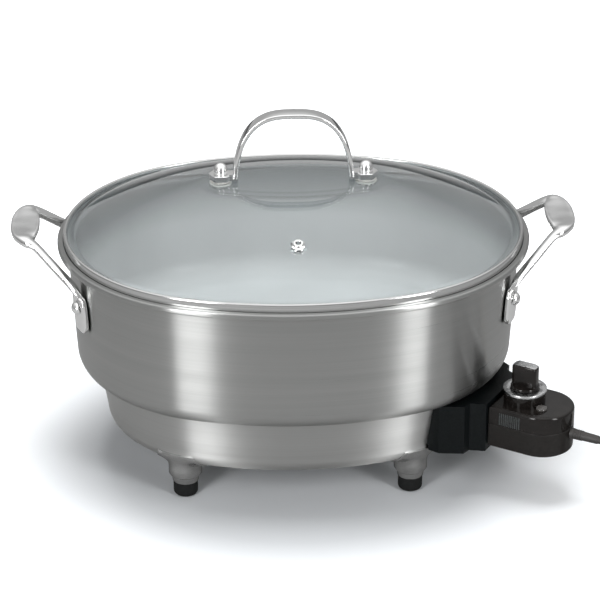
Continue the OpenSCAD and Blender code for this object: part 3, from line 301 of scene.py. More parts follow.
def rounded_block(mesh, levels, middle, steps):
    """A closed block along Y through levels of (y, half-width, half-height, corner radius)."""
    rings = []
    for y, half_w, half_h, r in levels:
        corners = rounded(half_w, half_h, r, steps)
        rings.append([mesh.verts.new(middle + Vector((x, y, z))) for x, z in corners])
    skin(mesh, rings)


plug_plastic = grainy(
    "plug plastic", (0.022, 0.021, 0.021), (0.045, 0.043, 0.042), None, 900,
    0.00012, 0.35, stops=(0.35, 0.65), Roughness=0.55,
)
sleeve_steps = 40
sleeve_path = [plug_end + Vector((0, 0.5 * i, 0)) for i in range(sleeve_steps + 1)]
sleeve_radii = []
for i in range(sleeve_steps + 1):
    groove = 0.55 if 4 < i < 34 and i % 6 in (0, 1, 2) else 0
    sleeve_radii.append(3.5 + 1.5 * i / sleeve_steps - groove)
mesh = bmesh.new()
tube(mesh, sleeve_path, sleeve_radii, 24)
levels = [(18, 6.0, 5.0, 3.4), (18.6, 7.2, 6.2, 4.2), (20, 8.6, 7.6, 4.8), (23, 11.2, 9.0, 5)]
levels += [(26, 13.0, 9.6, 5), (30, 13.5, 9.7, 5), (47, 13.5, 9.7, 5), (50.6, 13.3, 9.5, 4.9)]
levels += [(51.6, 12.8, 9.0, 4.5), (52, 12.0, 8.2, 4)]
rounded_block(mesh, levels, plug_end, 6)
grip_pitch, grip_w = 3.6, 1.6
for face_side in (-1, 1):
    for i in range(5):
        y = 29 + grip_pitch * i
        grip_h = (7 - 0.5 * abs(i - 2)) * 0.8
        levels = [(y, 0.7, grip_h, 0.35), (y + grip_w, 0.7, grip_h, 0.35)]
        rounded_block(mesh, levels, plug_end + Vector((face_side * 12.9, 0, 0)), 3)
bmesh.ops.remove_doubles(mesh, verts=mesh.verts, dist=0.002)
outwards(mesh)
plug = finished("plug", mesh, "control", plug_plastic, 32)
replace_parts(plug, "plug_body")


# The studio: a plain pale floor under an even white surround, two tall soft boxes at the front
# that draw the two bright strips on the steel, and a broad soft light overhead. What the camera
# sees of the surround is white, metal sees a dim room, and the floor keeps the shadow. The floor's
# glow fades out near the skillet, so the floor round it is darker: painted shade over the real
# shadow.
scene.view_settings.view_transform = "Standard"


def maths(tree, operation, *values):
    """One step of arithmetic in a tree."""
    given = dict(enumerate(values))
    return add(tree, "ShaderNodeMath", given, operation=operation).outputs[0]


def blend(tree, share, first, second):
    """A mix of two shaders."""
    given = {0: share, 1: first, 2: second}
    return add(tree, "ShaderNodeMixShader", given).outputs[0]


def rays(tree, kind):
    """1 for one kind of ray."""
    return add(tree, "ShaderNodeLightPath").outputs["Is " + kind + " Ray"]


def seen_directly(tree):
    """1 for rays from the camera, and from metal and glass."""
    either = maths(tree, "MAXIMUM", rays(tree, "Camera"), rays(tree, "Glossy"))
    return maths(tree, "MAXIMUM", either, rays(tree, "Transmission"))


def glow(tree, kind, strength):
    """White light from the surround or from the floor."""
    return add(tree, kind, {"Color": (1, 1, 1, 1), "Strength": strength}).outputs[0]


world = bpy.data.worlds.new("studio")
world.use_nodes = True
scene.world = world
tree = world.node_tree
tree.nodes.clear()
soft = glow(tree, "ShaderNodeBackground", 0.1)
white = glow(tree, "ShaderNodeBackground", 1.0)
way = add(tree, "ShaderNodeSeparateXYZ", {0: add(tree, "ShaderNodeTexCoord").outputs["Generated"]})
room = glow(tree, "ShaderNodeBackground", spread(tree, way.outputs[2], 0.42, 1.5, 0.35, 1.0))
mixed = blend(tree, seen_directly(tree), soft, white)
around = blend(tree, rays(tree, "Glossy"), mixed, room)
add(tree, "ShaderNodeOutputWorld", {"Surface": around})

floor_paint = bpy.data.materials.new("floor paint")
floor_paint.use_nodes = True
tree = floor_paint.node_tree
tree.nodes.clear()
matt = add(tree, "ShaderNodeBsdfDiffuse", {"Color": (0.79, 0.815, 0.84, 1)}).outputs[0]
dim = add(tree, "ShaderNodeBsdfDiffuse", {"Color": (0.42, 0.42, 0.42, 1)}).outputs[0]
# The floor's white glow grows with the distance from the skillet, from none within 160 mm to full
# at 420 mm, so the floor round and under the skillet is darker: painted shade that deepens the
# lamps' real shadow.
where = add(tree, "ShaderNodeTexCoord").outputs["Object"]
away = add(tree, "ShaderNodeVectorMath", {0: where}, operation="LENGTH").outputs["Value"]
far_white = glow(tree, "ShaderNodeEmission", spread(tree, away, 0.0, 1.0, 0.16, 0.42))
lit = add(tree, "ShaderNodeAddShader", {0: matt, 1: far_white}).outputs[0]
mixed = blend(tree, seen_directly(tree), matt, lit)
shown = blend(tree, rays(tree, "Glossy"), mixed, dim)
add(tree, "ShaderNodeOutputMaterial", {"Surface": shown})
mesh = bmesh.new()
bmesh.ops.create_grid(mesh, x_segments=4, y_segments=4, size=9)
data = mesh_data("floor", mesh)
data.transform(Matrix.Translation((0, 0, -0.0003)))
data.materials.append(floor_paint)
floor = bpy.data.objects.new("floor", data)
scene.collection.objects.link(floor)


def soft_light(name, place, turns, width, height, watts):
    """A broad lamp of a width and height in metres, at a place in metres."""
    lamp = bpy.data.lights.new(name, "AREA")
    lamp.shape = "RECTANGLE"
    lamp.size = width
    lamp.size_y = height
    lamp.energy = watts
    made = bpy.data.objects.new(name, lamp)
    made.location = place
    made.rotation_euler = turns
    scene.collection.objects.link(made)
    return made


box_away, box_low, box_high = 1.7, 0.02, 1.5
for name, bearing, width, watts in (
    ("soft box left", -34, 0.42, 19),
    ("soft box right", 41, 0.36, 16.5),
):
    a = math.radians(bearing)
    place = (box_away * math.sin(a), -box_away * math.cos(a), (box_low + box_high) / 2)
    soft_light(name, place, (math.radians(90), 0, a), width, box_high - box_low, watts)
overhead = soft_light("overhead", (-0.1, 0.1, 1.9), (0, 0, 0), 1, 1, 38)
overhead.visible_glossy = overhead.visible_transmission = False


# The outer shell is one drawing of brushed stainless steel: a rolled bead round the rim, a seat
# for the pan, a wall that draws in a little, and a rounded lower edge over the base.
end_r, side_r, side_y = 142, 290, 140
end_turn = math.degrees(math.atan2(side_y, end_x))


def oval(d):
    """Points of the skillet's oval outline, drawn in by d: two ends and two sides, tangent."""
    points = []
    for x, y, r, start, span, count in (
        (end_x, 0, end_r, -end_turn, 2 * end_turn, 44),
        (0, -side_y, side_r, end_turn, 180 - 2 * end_turn, 22),
        (-end_x, 0, end_r, 180 - end_turn, 2 * end_turn, 44),
        (0, side_y, side_r, 180 + end_turn, 180 - 2 * end_turn, 22),
    ):
        for i in range(count):
            a = math.radians(start + span * i / count)
            points.append((x + (r - d) * math.cos(a), y + (r - d) * math.sin(a)))
    return points


rim_line = oval(0)
rim_reach = [0.0]
for (xa, ya), (xb, yb) in zip(rim_line, rim_line[1:] + rim_line[:1]):
    rim_reach.append(rim_reach[-1] + math.hypot(xb - xa, yb - ya))


def oval_skin(section, closed=True):
    """A section of (distance behind the rim's edge, height), skinned round the oval."""
    mesh = bmesh.new()
    rings = [[mesh.verts.new((x, y, z)) for x, y in oval(d)] for d, z in section]
    down = [0.0]
    for (da, za), (db, zb) in zip(section, section[1:] + section[:1]):
        down.append(down[-1] + math.hypot(db - da, zb - za))
    round_again = rings[:1] if closed else []
    skin(mesh, rings + round_again, not closed, lambda i, j: (rim_reach[j], down[i]))
    return mesh


def bend(d, z, r, start, end, steps):
    """Points of an arc in a section, about a centre."""
    turns = [math.radians(start + (end - start) * i / steps) for i in range(steps + 1)]
    return [(d + r * math.cos(a), z + r * math.sin(a)) for a in turns]


def brushed(name, dark, light, lines, rough, **given):
    """A steel with brush lines that run round the oval, in tone, roughness and relief."""
    middle = tuple((a + b) / 2 for a, b in zip(dark, light))
    made, tree, sockets = surface(name, middle, Metallic=1, Anisotropic_Rotation=0.25, **given)
    fine = grain(tree, (7, 7, lines), 3, Roughness=0.6)
    broad = grain(tree, (2.5, 2.5, 130), 2)
    given = {"Factor": 0.5, "A": fine, "B": broad}
    both = add(tree, "ShaderNodeMix", given).outputs["Result"]
    tree.links.new(tones(tree, both, dark, light, 0.32, 0.68), sockets["Base Color"])
    tree.links.new(spread(tree, both, *rough), sockets["Roughness"])
    turn = add(tree, "ShaderNodeTangent", direction_type="RADIAL", axis="Z")
    tree.links.new(turn.outputs[0], sockets["Tangent"])
    relief(tree, sockets, fine, 0.000002, 0.2)
    return made


brushed_steel = brushed(
    "brushed steel", (0.375, 0.379, 0.374), (0.435, 0.439, 0.432), 1500, (0.27, 0.32),
    Anisotropic=1.0,
)
rim_top, bead_r = 194, 1.6
cove_z, cove_in, cove_r = 186.7, 5.6, 2.4
fold_z, fold_in, fold_r = 100, 28, 15
shell_low, sheet = 85, 1.2
section = [(4.4, rim_top)]
section += bend(bead_r, rim_top - bead_r, bead_r, 90, 180, 8)
section += bend(bead_r, 190.6, bead_r, 180, 270, 8) + [(3.4, 189), (3.4, 189.1)]
section += bend(cove_in, cove_z, cove_r, 90, 0, 8)
section += bend(fold_in, fold_z, fold_r, 180, 270, 14) + [(40, shell_low), (40, shell_low + sheet)]
section += bend(fold_in, fold_z, fold_r - sheet, 270, 180, 14)
section += bend(cove_in, cove_z, cove_r + sheet, 0, 90, 8) + [(4.4, 190.3)]
wall = finished("shell_wall", oval_skin(section), "skillet", brushed_steel, 40)
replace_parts(wall, "outer_shell")


# The pan is a deep aluminium casting, coated inside with a smooth grey ceramic, and hangs by its
# flange in the shell's seat. Its floor is flat, and a broad curve joins it to the walls.
dark, light = (0.34, 0.352, 0.36), (0.40, 0.412, 0.42)
pan_coat, tree, sockets = surface("pan coat", dark, Coat_Weight=0.25, Coat_Roughness=0.18)
fleck = grain(tree, 1400, 2)
cloud = grain(tree, 14)
both = add(tree, "ShaderNodeMix", {"Factor": 0.3, "A": cloud, "B": fleck}).outputs["Result"]
coat = tones(tree, both, dark, light, 0.35, 0.65)
# Above 150 mm the coat's colour is mixed towards a near-black grey, in full at the flange: painted
# shade under the lid's rim, not a colour of the coating.
where = add(tree, "ShaderNodeTexCoord").outputs["Object"]
height = add(tree, "ShaderNodeSeparateXYZ", {0: where}).outputs[2]
painted_shade_under_rim = spread(tree, height, 0.0, 1.0, 0.15, 0.189)
both = {0: painted_shade_under_rim, 6: coat, 7: (0.11, 0.12, 0.125, 1)}
coat_with_painted_shade = add(tree, "ShaderNodeMix", both, data_type="RGBA").outputs[2]
tree.links.new(coat_with_painted_shade, sockets["Base Color"])
tree.links.new(spread(tree, cloud, 0.3, 0.44), sockets["Roughness"])
relief(tree, sockets, fleck, 0.00001, 0.15)

pan_low, pan_floor = 92, 97
flange_low, flange_top = 190.3, 192.5
section = [(120, pan_low), (60, pan_low), (40, pan_low)]
section += bend(39.2, pan_low + 23, 23, 270, 180, 10)
section += [(13.2, flange_low), (4.7, flange_low), (4.6, flange_low + 0.1)]
section += [(4.6, flange_top - 0.1), (4.7, flange_top), (14.7, flange_top)]
section += bend(14.7, flange_top - 1.5, 1.5, 90, 0, 5)
section += bend(39.2, pan_floor + 20, 20, 180, 270, 14)
section += [(40, pan_floor), (60, pan_floor), (120, pan_floor)]
pan = finished("pan", oval_skin(section, False), "skillet", pan_coat, 50)
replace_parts(pan, "cooking_pan")


# The base is a skirt of satin stainless steel under the shell, rolled in at its lower edge. One
# end is cut out behind the socket.
def plain_copy(made):
    """Makes a piece's modifiers part of its mesh."""
    seen = made.evaluated_get(bpy.context.evaluated_depsgraph_get())
    data = bpy.data.meshes.new_from_object(seen)
    made.modifiers.clear()
    made.data = data


def cut_out(made, mesh):
    """Cuts mesh work in millimetres out of a piece."""
    data = mesh_data("opening", mesh)
    data.transform(metres)
    opening = bpy.data.objects.new("opening", data)
    scene.collection.objects.link(opening)
    cut = made.modifiers.new("cut", "BOOLEAN")
    cut.operation = "DIFFERENCE"
    cut.solver = "EXACT"
    cut.object = opening
    bpy.context.view_layer.update()
    plain_copy(made)
    bpy.data.objects.remove(opening)


base_steel = brushed(
    "base steel", (0.47, 0.474, 0.468), (0.53, 0.534, 0.527), 1300, (0.34, 0.41), Anisotropic=0.95
)
roll_in, roll_z, roll_r = 50, 47, 14
base_sheet = 1.5
section = [(30.4, shell_low), (30, shell_low - 0.4)]
section += bend(roll_in, roll_z, roll_r, 180, 270, 12) + [(60, 33), (60, 33 + base_sheet)]
section += bend(roll_in, roll_z, roll_r - base_sheet, 270, 180, 12)
section += [(31.5, 83.5), (40, 83.5), (40, shell_low)]
skirt = finished("base_skirt_wall", oval_skin(section), "skillet", base_steel, 40)
mesh = bmesh.new()
bmesh.ops.create_cube(mesh, size=1)
for v in mesh.verts:
    v.co = on_axis(103 + 42 * v.co.x, 42 * v.co.y, 62.75 + 33.5 * v.co.z)
cut_out(skirt, mesh)
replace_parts(skirt, "base_skirt")


# The legs are polished castings, screwed under the base's corners, each with a narrow tip and a
# flare that follows the base's rolled edge. Each stands on a black rubber foot with a screw in it.
def recut(name, nodes, body, material, sharp=35, ease=0.0, steps=2):
    """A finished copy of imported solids: welded, with its flats joined and its edges eased."""
    mesh = bmesh.new()
    for node in nodes:
        part = bmesh.new()
        part.from_mesh(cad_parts[node].data)
        bmesh.ops.scale(part, vec=(1000, 1000, 1000), verts=part.verts)
        bmesh.ops.remove_doubles(part, verts=part.verts, dist=0.004)
        flat = math.radians(0.6)
        bmesh.ops.dissolve_limit(part, angle_limit=flat, verts=part.verts, edges=part.edges)
        spare = mesh_data("spare", part)
        mesh.from_mesh(spare)
        bpy.data.meshes.remove(spare)
    made = finished(name, mesh, body, material, sharp)
    if ease:
        eased_edges = made.modifiers.new("eased edges", "BEVEL")
        eased_edges.width = ease / 1000
        eased_edges.segments = steps
        eased_edges.limit_method = "ANGLE"
        eased_edges.angle_limit = math.radians(40)
        eased_edges.harden_normals = True
        plain_copy(made)
    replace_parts(made, *nodes)
    return made


leg_cast = grainy(
    "leg cast", (0.58, 0.583, 0.58), (0.68, 0.683, 0.68), (0.16, 0.26), (160, 160, 220),
    0.00003, stops=(0.35, 0.65), Metallic=1,
)
foot_rubber = grainy(
    "foot rubber", (0.006, 0.0065, 0.0065), (0.012, 0.0125, 0.0125), (0.5, 0.75), 500,
    0.0001, stops=(0.35, 0.7), detail=5, Specular_IOR_Level=0.2,
)


def on_base(x, y, off):
    """A place under the base's rolled edge: off its surface, and no further out than its wall."""
    ax, ay = abs(x), abs(y)
    side = math.degrees(math.atan2(ay, ax - end_x)) > end_turn
    hub, r = (Vector((0, -side_y)), side_r) if side else (Vector((end_x, 0)), end_r)
    way = Vector((ax, ay)) - hub
    in_from_edge = max(r - way.length, roll_in - 0.97 * (roll_r + off))
    spot = hub + way.normalized() * (r - in_from_edge)
    drop = math.sqrt((roll_r + off) ** 2 - max(0, roll_in - in_from_edge) ** 2)
    return Vector((math.copysign(spot.x, x), math.copysign(spot.y, y), roll_z - drop))


leg_x, leg_y = 91, 78.14
leg_sides = 72
leg_stages = [(2.0, 12.0), (9.5, 12.0), (10.5, 13.0), (11.3, 18.0)]
leg_stages += [(12.7, 18.8), (13.5, 20.2), (13.5, 26.0)]
ear_stages = [(13.7, 5.2), (14.3, 3.9), (15.3, 2.9), (16.8, 2.1), (18.6, 1.6), (20.4, 1.4)]
ear_stages += [(21.8, 1.2), (22.3, 0.8), (22.4, 0.2), (21.0, -0.3), (12.0, -0.3), (2.0, -0.3)]
for corner, sx, sy in (
    ("front_left", -1, -1),
    ("front_right", 1, -1),
    ("rear_left", -1, 1),
    ("rear_right", 1, 1),
):
    mesh = bmesh.new()
    rings = []
    for k, (r, level) in enumerate(leg_stages + ear_stages):
        ring = []
        for j in range(leg_sides):
            a = 2 * math.pi * j / leg_sides
            x, y = sx * leg_x + r * math.cos(a), sy * leg_y + r * math.sin(a)
            low = k < len(leg_stages)
            ring.append(mesh.verts.new((x, y, level) if low else on_base(x, y, level)))
        rings.append(ring)
    skin(mesh, rings)
    leg = finished("leg_" + corner + "_cast", mesh, "skillet", leg_cast, 50)
    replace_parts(leg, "leg_" + corner)
    foot = "foot_" + corner
    recut(foot + "_pad", [foot], "skillet", foot_rubber, 30)


# The side handles are loops of polished cast steel: a broad thumb pad, dished on top, on two
# straps that run in under the rim to flanges, each riveted flat to the wall.
def wall_at(z):
    """Distance of the outer wall behind the rim's edge, at a height."""
    return 8 + 5 * (cove_z - z) / (cove_z - fold_z)


flange_turn = math.radians(24)
wall_way = Vector((-math.cos(flange_turn), math.sin(flange_turn), 0))
strap_t = 2.5


def on_wall(z):
    """A place in the middle of a flange's thickness, on the end of the wall."""
    r = end_r - wall_at(z) + 0.2 + strap_t
    return Vector((end_x + r * math.cos(flange_turn), -r * math.sin(flange_turn), z))


rivet_high, rivet_low = 166.75, 136.75
elbow = on_wall(rivet_high)
strap_low = Vector((elbow.x + 4.5, elbow.y + 1.2, rivet_high + 8))
strap_high = Vector((205, -33.5, 200.5))
strap_up = Vector((-0.76, 0.05, 0.65))
posts = [
    (on_wall(rivet_low), wall_way, (4.6, 1.5, 0, 0.7)),
    (on_wall(rivet_low + 1.5), wall_way, (7.6, strap_t, 0, 0.5)),
    (on_wall(rivet_low + 5), wall_way, (9.9, strap_t, 0, 0.5)),
    (on_wall(rivet_low + 10), wall_way, (10.5, strap_t, 0, 0.5)),
    (on_wall(rivet_high - 5), wall_way, (10.5, strap_t, 0, 0.5)),
    (elbow + Vector((0.4, 0, 0)), wall_way, (8.0, strap_t, 0, 0.6)),
    (strap_low, strap_up, (5, 3.06, 0, 0.8)),
    ((strap_low + strap_high) / 2, strap_up, (5, 3.25, 0, 0.9)),
    (strap_high, strap_up, (5, 3.25, 0, 0.9)),
    (Vector((212, -30, 204)), Vector((-0.3, 0, 0.95)), (5.9, 4.3, 0, 0.95)),
    (Vector((214.5, -23, 205.2)), Vector((-0.05, 0, 1)), (8.8, 4.5, 1.2, 0.85)),
    (Vector((215, -10.9, 205.5)), Vector((0, 0, 1)), (11.1, 4.5, 2.0, 0.8)),
    (Vector((215, 0, 205.5)), Vector((0, 0, 1)), (11.5, 4.5, 2.0, 0.8)),
]
flip = Vector((1, -1, 1))
posts += [(p * flip, up * flip, shape) for p, up, shape in posts[-2::-1]]
places = smooth_run([p for p, up, shape in posts], 8)
ups = smooth_run([up for p, up, shape in posts], 8)
shapes = smooth_run([Vector(shape) for p, up, shape in posts], 8)


def power(value, exponent):
    """A power that keeps the sign."""
    return math.copysign(abs(value) ** exponent, value)


def handle_loop(half_turn):
    """One whole loop as a closed skin: 1 for the right end, -1 turned half round for the left."""
    mesh = bmesh.new()
    sides = 48
    rings = []
    for k, (p, up, shape) in enumerate(zip(places, ups, shapes)):
        ahead = (places[min(k + 1, len(places) - 1)] - places[max(k - 1, 0)]).normalized()
        up = (up - ahead * up.dot(ahead)).normalized()
        across = ahead.cross(up)
        half_w, half_t, dish, square = shape
        ring = []
        for j in range(sides):
            a = 2 * math.pi * (j + 0.5) / sides
            w, h = math.sin(a), math.cos(a)
            dip = dish * (1 - w**4) * min(1, 1.4 * h) if h > 0 else 0
            thick = half_t * power(h, square * 0.8) - dip
            v = p + across * half_w * power(w, square) + up * thick
            ring.append(mesh.verts.new((half_turn * v.x, half_turn * v.y, v.z)))
        rings.append(ring)
    skin(mesh, rings, capped=False)
    for ring in (rings[0], rings[-1]):
        tip = mesh.verts.new(sum((v.co for v in ring), Vector()) / sides)
        for j in range(sides):
            mesh.faces.new([ring[j], ring[(j + 1) % sides], tip])
    outwards(mesh)
    return mesh


polished_steel = grainy(
    "polished steel", (0.82, 0.822, 0.82), (0.89, 0.892, 0.89), (0.07, 0.14), 60,
    0.00008, 0.25, detail=5, bumps=(90, 2), Metallic=1,
)
for end, half_turn in (("right", 1), ("left", -1)):
    mesh = handle_loop(half_turn)
    loop = finished("side_handle_" + end, mesh, "skillet", polished_steel, 60)
    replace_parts(loop, "handle_" + end)
    rivets = ["rivets_" + end]
    recut("rivet_heads_" + end, rivets, "skillet", polished_steel, 40, 0.3)


# The socket is a stepped block of black moulded plastic on the base's end, which takes the nose of
# the control. Its two screws go in from inside the base.
shroud_plastic = grainy(
    "shroud plastic", (0.002, 0.003, 0.0033), (0.0045, 0.006, 0.0065), (0.3, 0.46), 700,
    0.00006, stops=(0.35, 0.7), Specular_IOR_Level=0.14,
)
recut("socket_block", ["socket_shroud"], "skillet", shroud_plastic, 35, 0.7, 3)


# The lid is a dome of clear toughened glass. Every level of it is the same oval, drawn in, up to a
# flat crown. It is pierced for the two bolts of the handle and for the vent.
dome_z, dome_rise, dome_power = 197.9, 43, 1.35
dome_in, dome_run = 118, 108.1
glass_t = 4


def dome_at(d):
    """Height of the glass's upper face, at a distance behind the rim's edge."""
    return dome_z + dome_rise * (1 - (max(0, dome_in - d) / dome_run) ** dome_power)


clear_glass, tree, sockets = surface(
    "clear glass", (0.93, 0.95, 0.95), Roughness=0.0, IOR=1.7, Transmission_Weight=1.0
)
lets_by = add(tree, "ShaderNodeBsdfTransparent", {"Color": (0.86, 0.89, 0.89, 1)}).outputs[0]
shader = tree.nodes["Principled BSDF"].outputs[0]
both = blend(tree, rays(tree, "Shadow"), shader, lets_by)
tree.links.new(both, tree.nodes["Material Output"].inputs["Surface"])

steps = 26
inner = [dome_in - dome_run + dome_run * i / steps for i in range(steps + 1)] + [126, 139]
section = [(d, dome_at(d) - glass_t) for d in inner[::-1]]
section += [(7.0, 193.9), (6.2, 194.6), (6.2, 197.2), (7.0, 197.9)]
section += [(d, dome_at(d)) for d in inner]
glass = finished("glass_dome", oval_skin(section, False), "lid", clear_glass, 50)
bolt_x, crown_z = 58, 239
bolt_hole_r, vent_hole_r = 3.5, 3.7
vent_in, vent_y = 62, -88
vent_slope = dome_rise * dome_power / dome_run
vent_lean = math.atan(vent_slope * ((dome_in - vent_in) / dome_run) ** (dome_power - 1))
vent_at = Matrix.Translation((0, vent_y, dome_at(vent_in)))
vent_place = vent_at @ Matrix.Rotation(vent_lean, 4, "X")
mesh = bmesh.new()
for place, r in (
    (Matrix.Translation((-bolt_x, 0, crown_z)), bolt_hole_r),
    (Matrix.Translation((bolt_x, 0, crown_z)), bolt_hole_r),
    (vent_place, vent_hole_r),
):
    bmesh.ops.create_cone(
        mesh, cap_ends=True, segments=40, radius1=r, radius2=r, depth=16, matrix=place
    )
cut_out(glass, mesh)
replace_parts(glass, "lid_glass")


# A band of bright stainless steel is rolled round the glass and crimped over its edge.
band_steel = grainy(
    "band steel", (0.55, 0.553, 0.55), (0.64, 0.643, 0.64), (0.1, 0.2), (6, 6, 900),
    stops=(0.35, 0.65), detail=3, Metallic=1,
)
band_out, band_in, roll_top_z, roll_top_r = 4.9, 7.9, 199.3, 1.5
section = [(5.3, 192.8), (band_out, 193.2)]
section += bend(band_out + roll_top_r, roll_top_z, roll_top_r, 180, 0, 12)
section += [(band_in, 198), (5.9, 198), (5.9, 193.8), (band_in, 193.8), (band_in, 193.1)]
section += [(7.6, 192.8)]
band = finished("rolled_band", oval_skin(section), "lid", band_steel, 40)
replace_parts(band, "lid_band")


# The lid's handle is an arched strap of polished steel that stands on two hexagon feet. Its edges
# are eased, and it is bolted through the glass.
arch_foot_z, arch_rise, arch_half = 247.5, 49.4, 46.5


def arch_place(a):
    """A place on the arch's middle line, at an angle round it, and its way out."""
    q = 2 / 3

    def spot(b):
        """A place on the middle line."""
        z = arch_rise * math.sin(b) ** q
        return Vector((power(math.cos(b), q) * (arch_half - 7.4 * z / arch_rise), 0, z))

    side = 1 if a < math.pi / 2 else -1
    way = (spot(a + side * math.radians(1)) - spot(a)).normalized() * side
    return spot(a), Vector((way.z, 0, -way.x))


def ring_of(mesh, place, r, z, count, turn=0):
    """A ring of points about a place's own Z."""
    turns = [turn + 2 * math.pi * k / count for k in range(count)]
    return [mesh.verts.new(place @ Vector((r * math.cos(a), r * math.sin(a), z))) for a in turns]


half = 36
stood = [(Vector((arch_half, 0, -3)), Vector((1, 0, 0)))]
for i in range(2 * half + 1):
    lean = 3 + 87 * (min(i, 2 * half - i) / half) ** 0.8
    stood.append(arch_place(math.radians(lean if i <= half else 180 - lean)))
stood.append((Vector((-arch_half, 0, -3)), Vector((-1, 0, 0))))
mesh = bmesh.new()
rings = []
for middle, out in stood:
    strap = rounded(1.9, 7.0, 1.1, 5)
    spots = [middle + out * t + Vector((0, w, arch_foot_z)) for t, w in strap]
    rings.append([mesh.verts.new(v) for v in spots])
skin(mesh, rings)
for side in (-1, 1):
    place = Matrix.Translation((side * bolt_x, 0, 0))
    levels = ((8.9, 241.9), (9.5, 242.5), (9.7, 246.9), (9.1, arch_foot_z))
    skin(mesh, [ring_of(mesh, place, r, z, 6) for r, z in levels])
    near, far = sorted((side * 44.6, side * 56))
    place = Matrix.Translation(((near + far) / 2, 0, 244.7))
    size = Matrix.Diagonal((far - near, 9.7, 5.4, 1))
    bmesh.ops.create_cube(mesh, size=1, matrix=place @ size)
outwards(mesh)
arch = finished("arch_handle", mesh, "lid", polished_steel)
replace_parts(arch, "lid_handle")


# A domed cap nut closes each bolt on the handle's feet, and a hexagon eyelet in the front of the
# dome lets out steam. Both are turned from bright steel.
def turned(mesh, profile, place, segments):
    """Turns a closed profile of (radius, height) about a place's own Z."""
    rings = []
    for r, z in profile:
        rings.append(ring_of(mesh, place, r, z, 1 if r < 1e-6 else segments))
    for low, high in zip(rings, rings[1:]):
        for j in range(segments):
            k = (j + 1) % segments
            corners = [low[j % len(low)], low[k % len(low)]]
            corners += [high[k % len(high)], high[j % len(high)]]
            loop = list(dict.fromkeys(corners))
            if len(loop) > 2:
                mesh.faces.new(loop)
    outwards(mesh)


mesh = bmesh.new()
for side in (-1, 1):
    profile = [(0, 251.1), (2.6, 251.1), (2.6, 247.6), (4.9, 247.5), (5.4, 247.9), (5.5, 248.4)]
    profile += bend(0, 250.5, 5.5, 0, 84, 14) + [(0, 256.0)]
    turned(mesh, profile, Matrix.Translation((side * bolt_x, 0, 0)), 48)
nuts = finished("cap_nuts", mesh, "lid", polished_steel, 40)
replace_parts(nuts, "lid_cap_nuts")
mesh = bmesh.new()
profile = [(2.05, -7.2), (3.0, -7.2), (3.2, -7.0), (3.2, 1.0), (3.4, 2.4), (4.3, 2.5), (4.4, 2.8)]
profile += [(3.8, 3.7), (3.3, 3.9), (2.4, 3.9), (2.0, 3.5), (2.0, -7.1), (2.05, -7.2)]
turned(mesh, profile, vent_place, 40)
levels = [(3.1, 0.9), (5.1, 0.9), (5.5, 1.2), (5.5, 1.9), (5.1, 2.25), (3.1, 2.25)]
rings = [ring_of(mesh, vent_place, r, z, 6, math.radians(30)) for r, z in levels]
skin(mesh, rings + rings[:1], capped=False)
vent = finished("steam_vent", mesh, "lid", polished_steel)
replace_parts(vent, "vent_eyelet")


# The heat control is a housing of glossy brown-black plastic in two halves, with a flat-sided neck
# and a round end. A round collar stands on it under the dial.
case_r, case_near, case_far = 25.5, 137.8, 173.0
dial_u = 157


def outline(inset, z):
    """The housing in plan: from the neck's back corner, out round the end, and back."""
    r = case_r - inset
    near = case_near + inset
    side = [near + (case_far - near) * i / 6 for i in range(6)]
    turns = [math.radians(-90 + 180 * i / 26) for i in range(27)]
    spots = [(u, -r) for u in side]
    spots += [(case_far + r * math.cos(a), r * math.sin(a)) for a in turns]
    spots += [(u, r) for u in side[:0:-1] + side[:1]]
    return [on_axis(u, w, z) for u, w in spots]


def housing(levels):
    """Half of the case as a closed cup through levels of (inset, height)."""
    mesh = bmesh.new()
    skin(mesh, [[mesh.verts.new(v) for v in outline(inset, z)] for inset, z in levels])
    return mesh


control_gloss = grainy(
    "control gloss", (0.006, 0.005, 0.0045), (0.012, 0.010, 0.009), (0.09, 0.16), 120,
    0.00003, detail=3, bumps=(260, 2), Specular_IOR_Level=0.32,
)
control_matte = grainy(
    "control matte", (0.007, 0.006, 0.0054), (0.012, 0.0102, 0.009), (0.28, 0.42), 500,
    0.00005, Specular_IOR_Level=0.3,
)
case_top, case_low = 82, 46
levels = [(8, 79.7), (2.4, 79.7), (2.2, 79.4), (2.2, 66.6), (0.5, 66.6), (0.35, 66.8), (0, 67.1)]
levels += bend(2.4, case_top - 2.4, 2.4, 180, 90, 6) + [(8, case_top)]
mesh = housing(levels)
collar = [(0, 79.5), (16.75, 79.5), (16.75, 89.2), (16.0, 90.0), (0, 90.0)]
turned(mesh, collar, Matrix.Translation(on_axis(dial_u, 0, 0)), 64)
upper = finished("housing_top", mesh, "control", control_gloss)
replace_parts(upper, "control_upper")
levels = [(8, 48.2), (2.4, 48.2), (2.2, 48.5), (2.2, 66.5), (0.5, 66.5), (0.35, 66.3), (0, 66.0)]
levels += bend(2.2, case_low + 2.2, 2.2, 180, 270, 6) + [(8, case_low)]
lower = finished("housing_bottom", housing(levels), "control", control_matte)
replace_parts(lower, "control_lower")


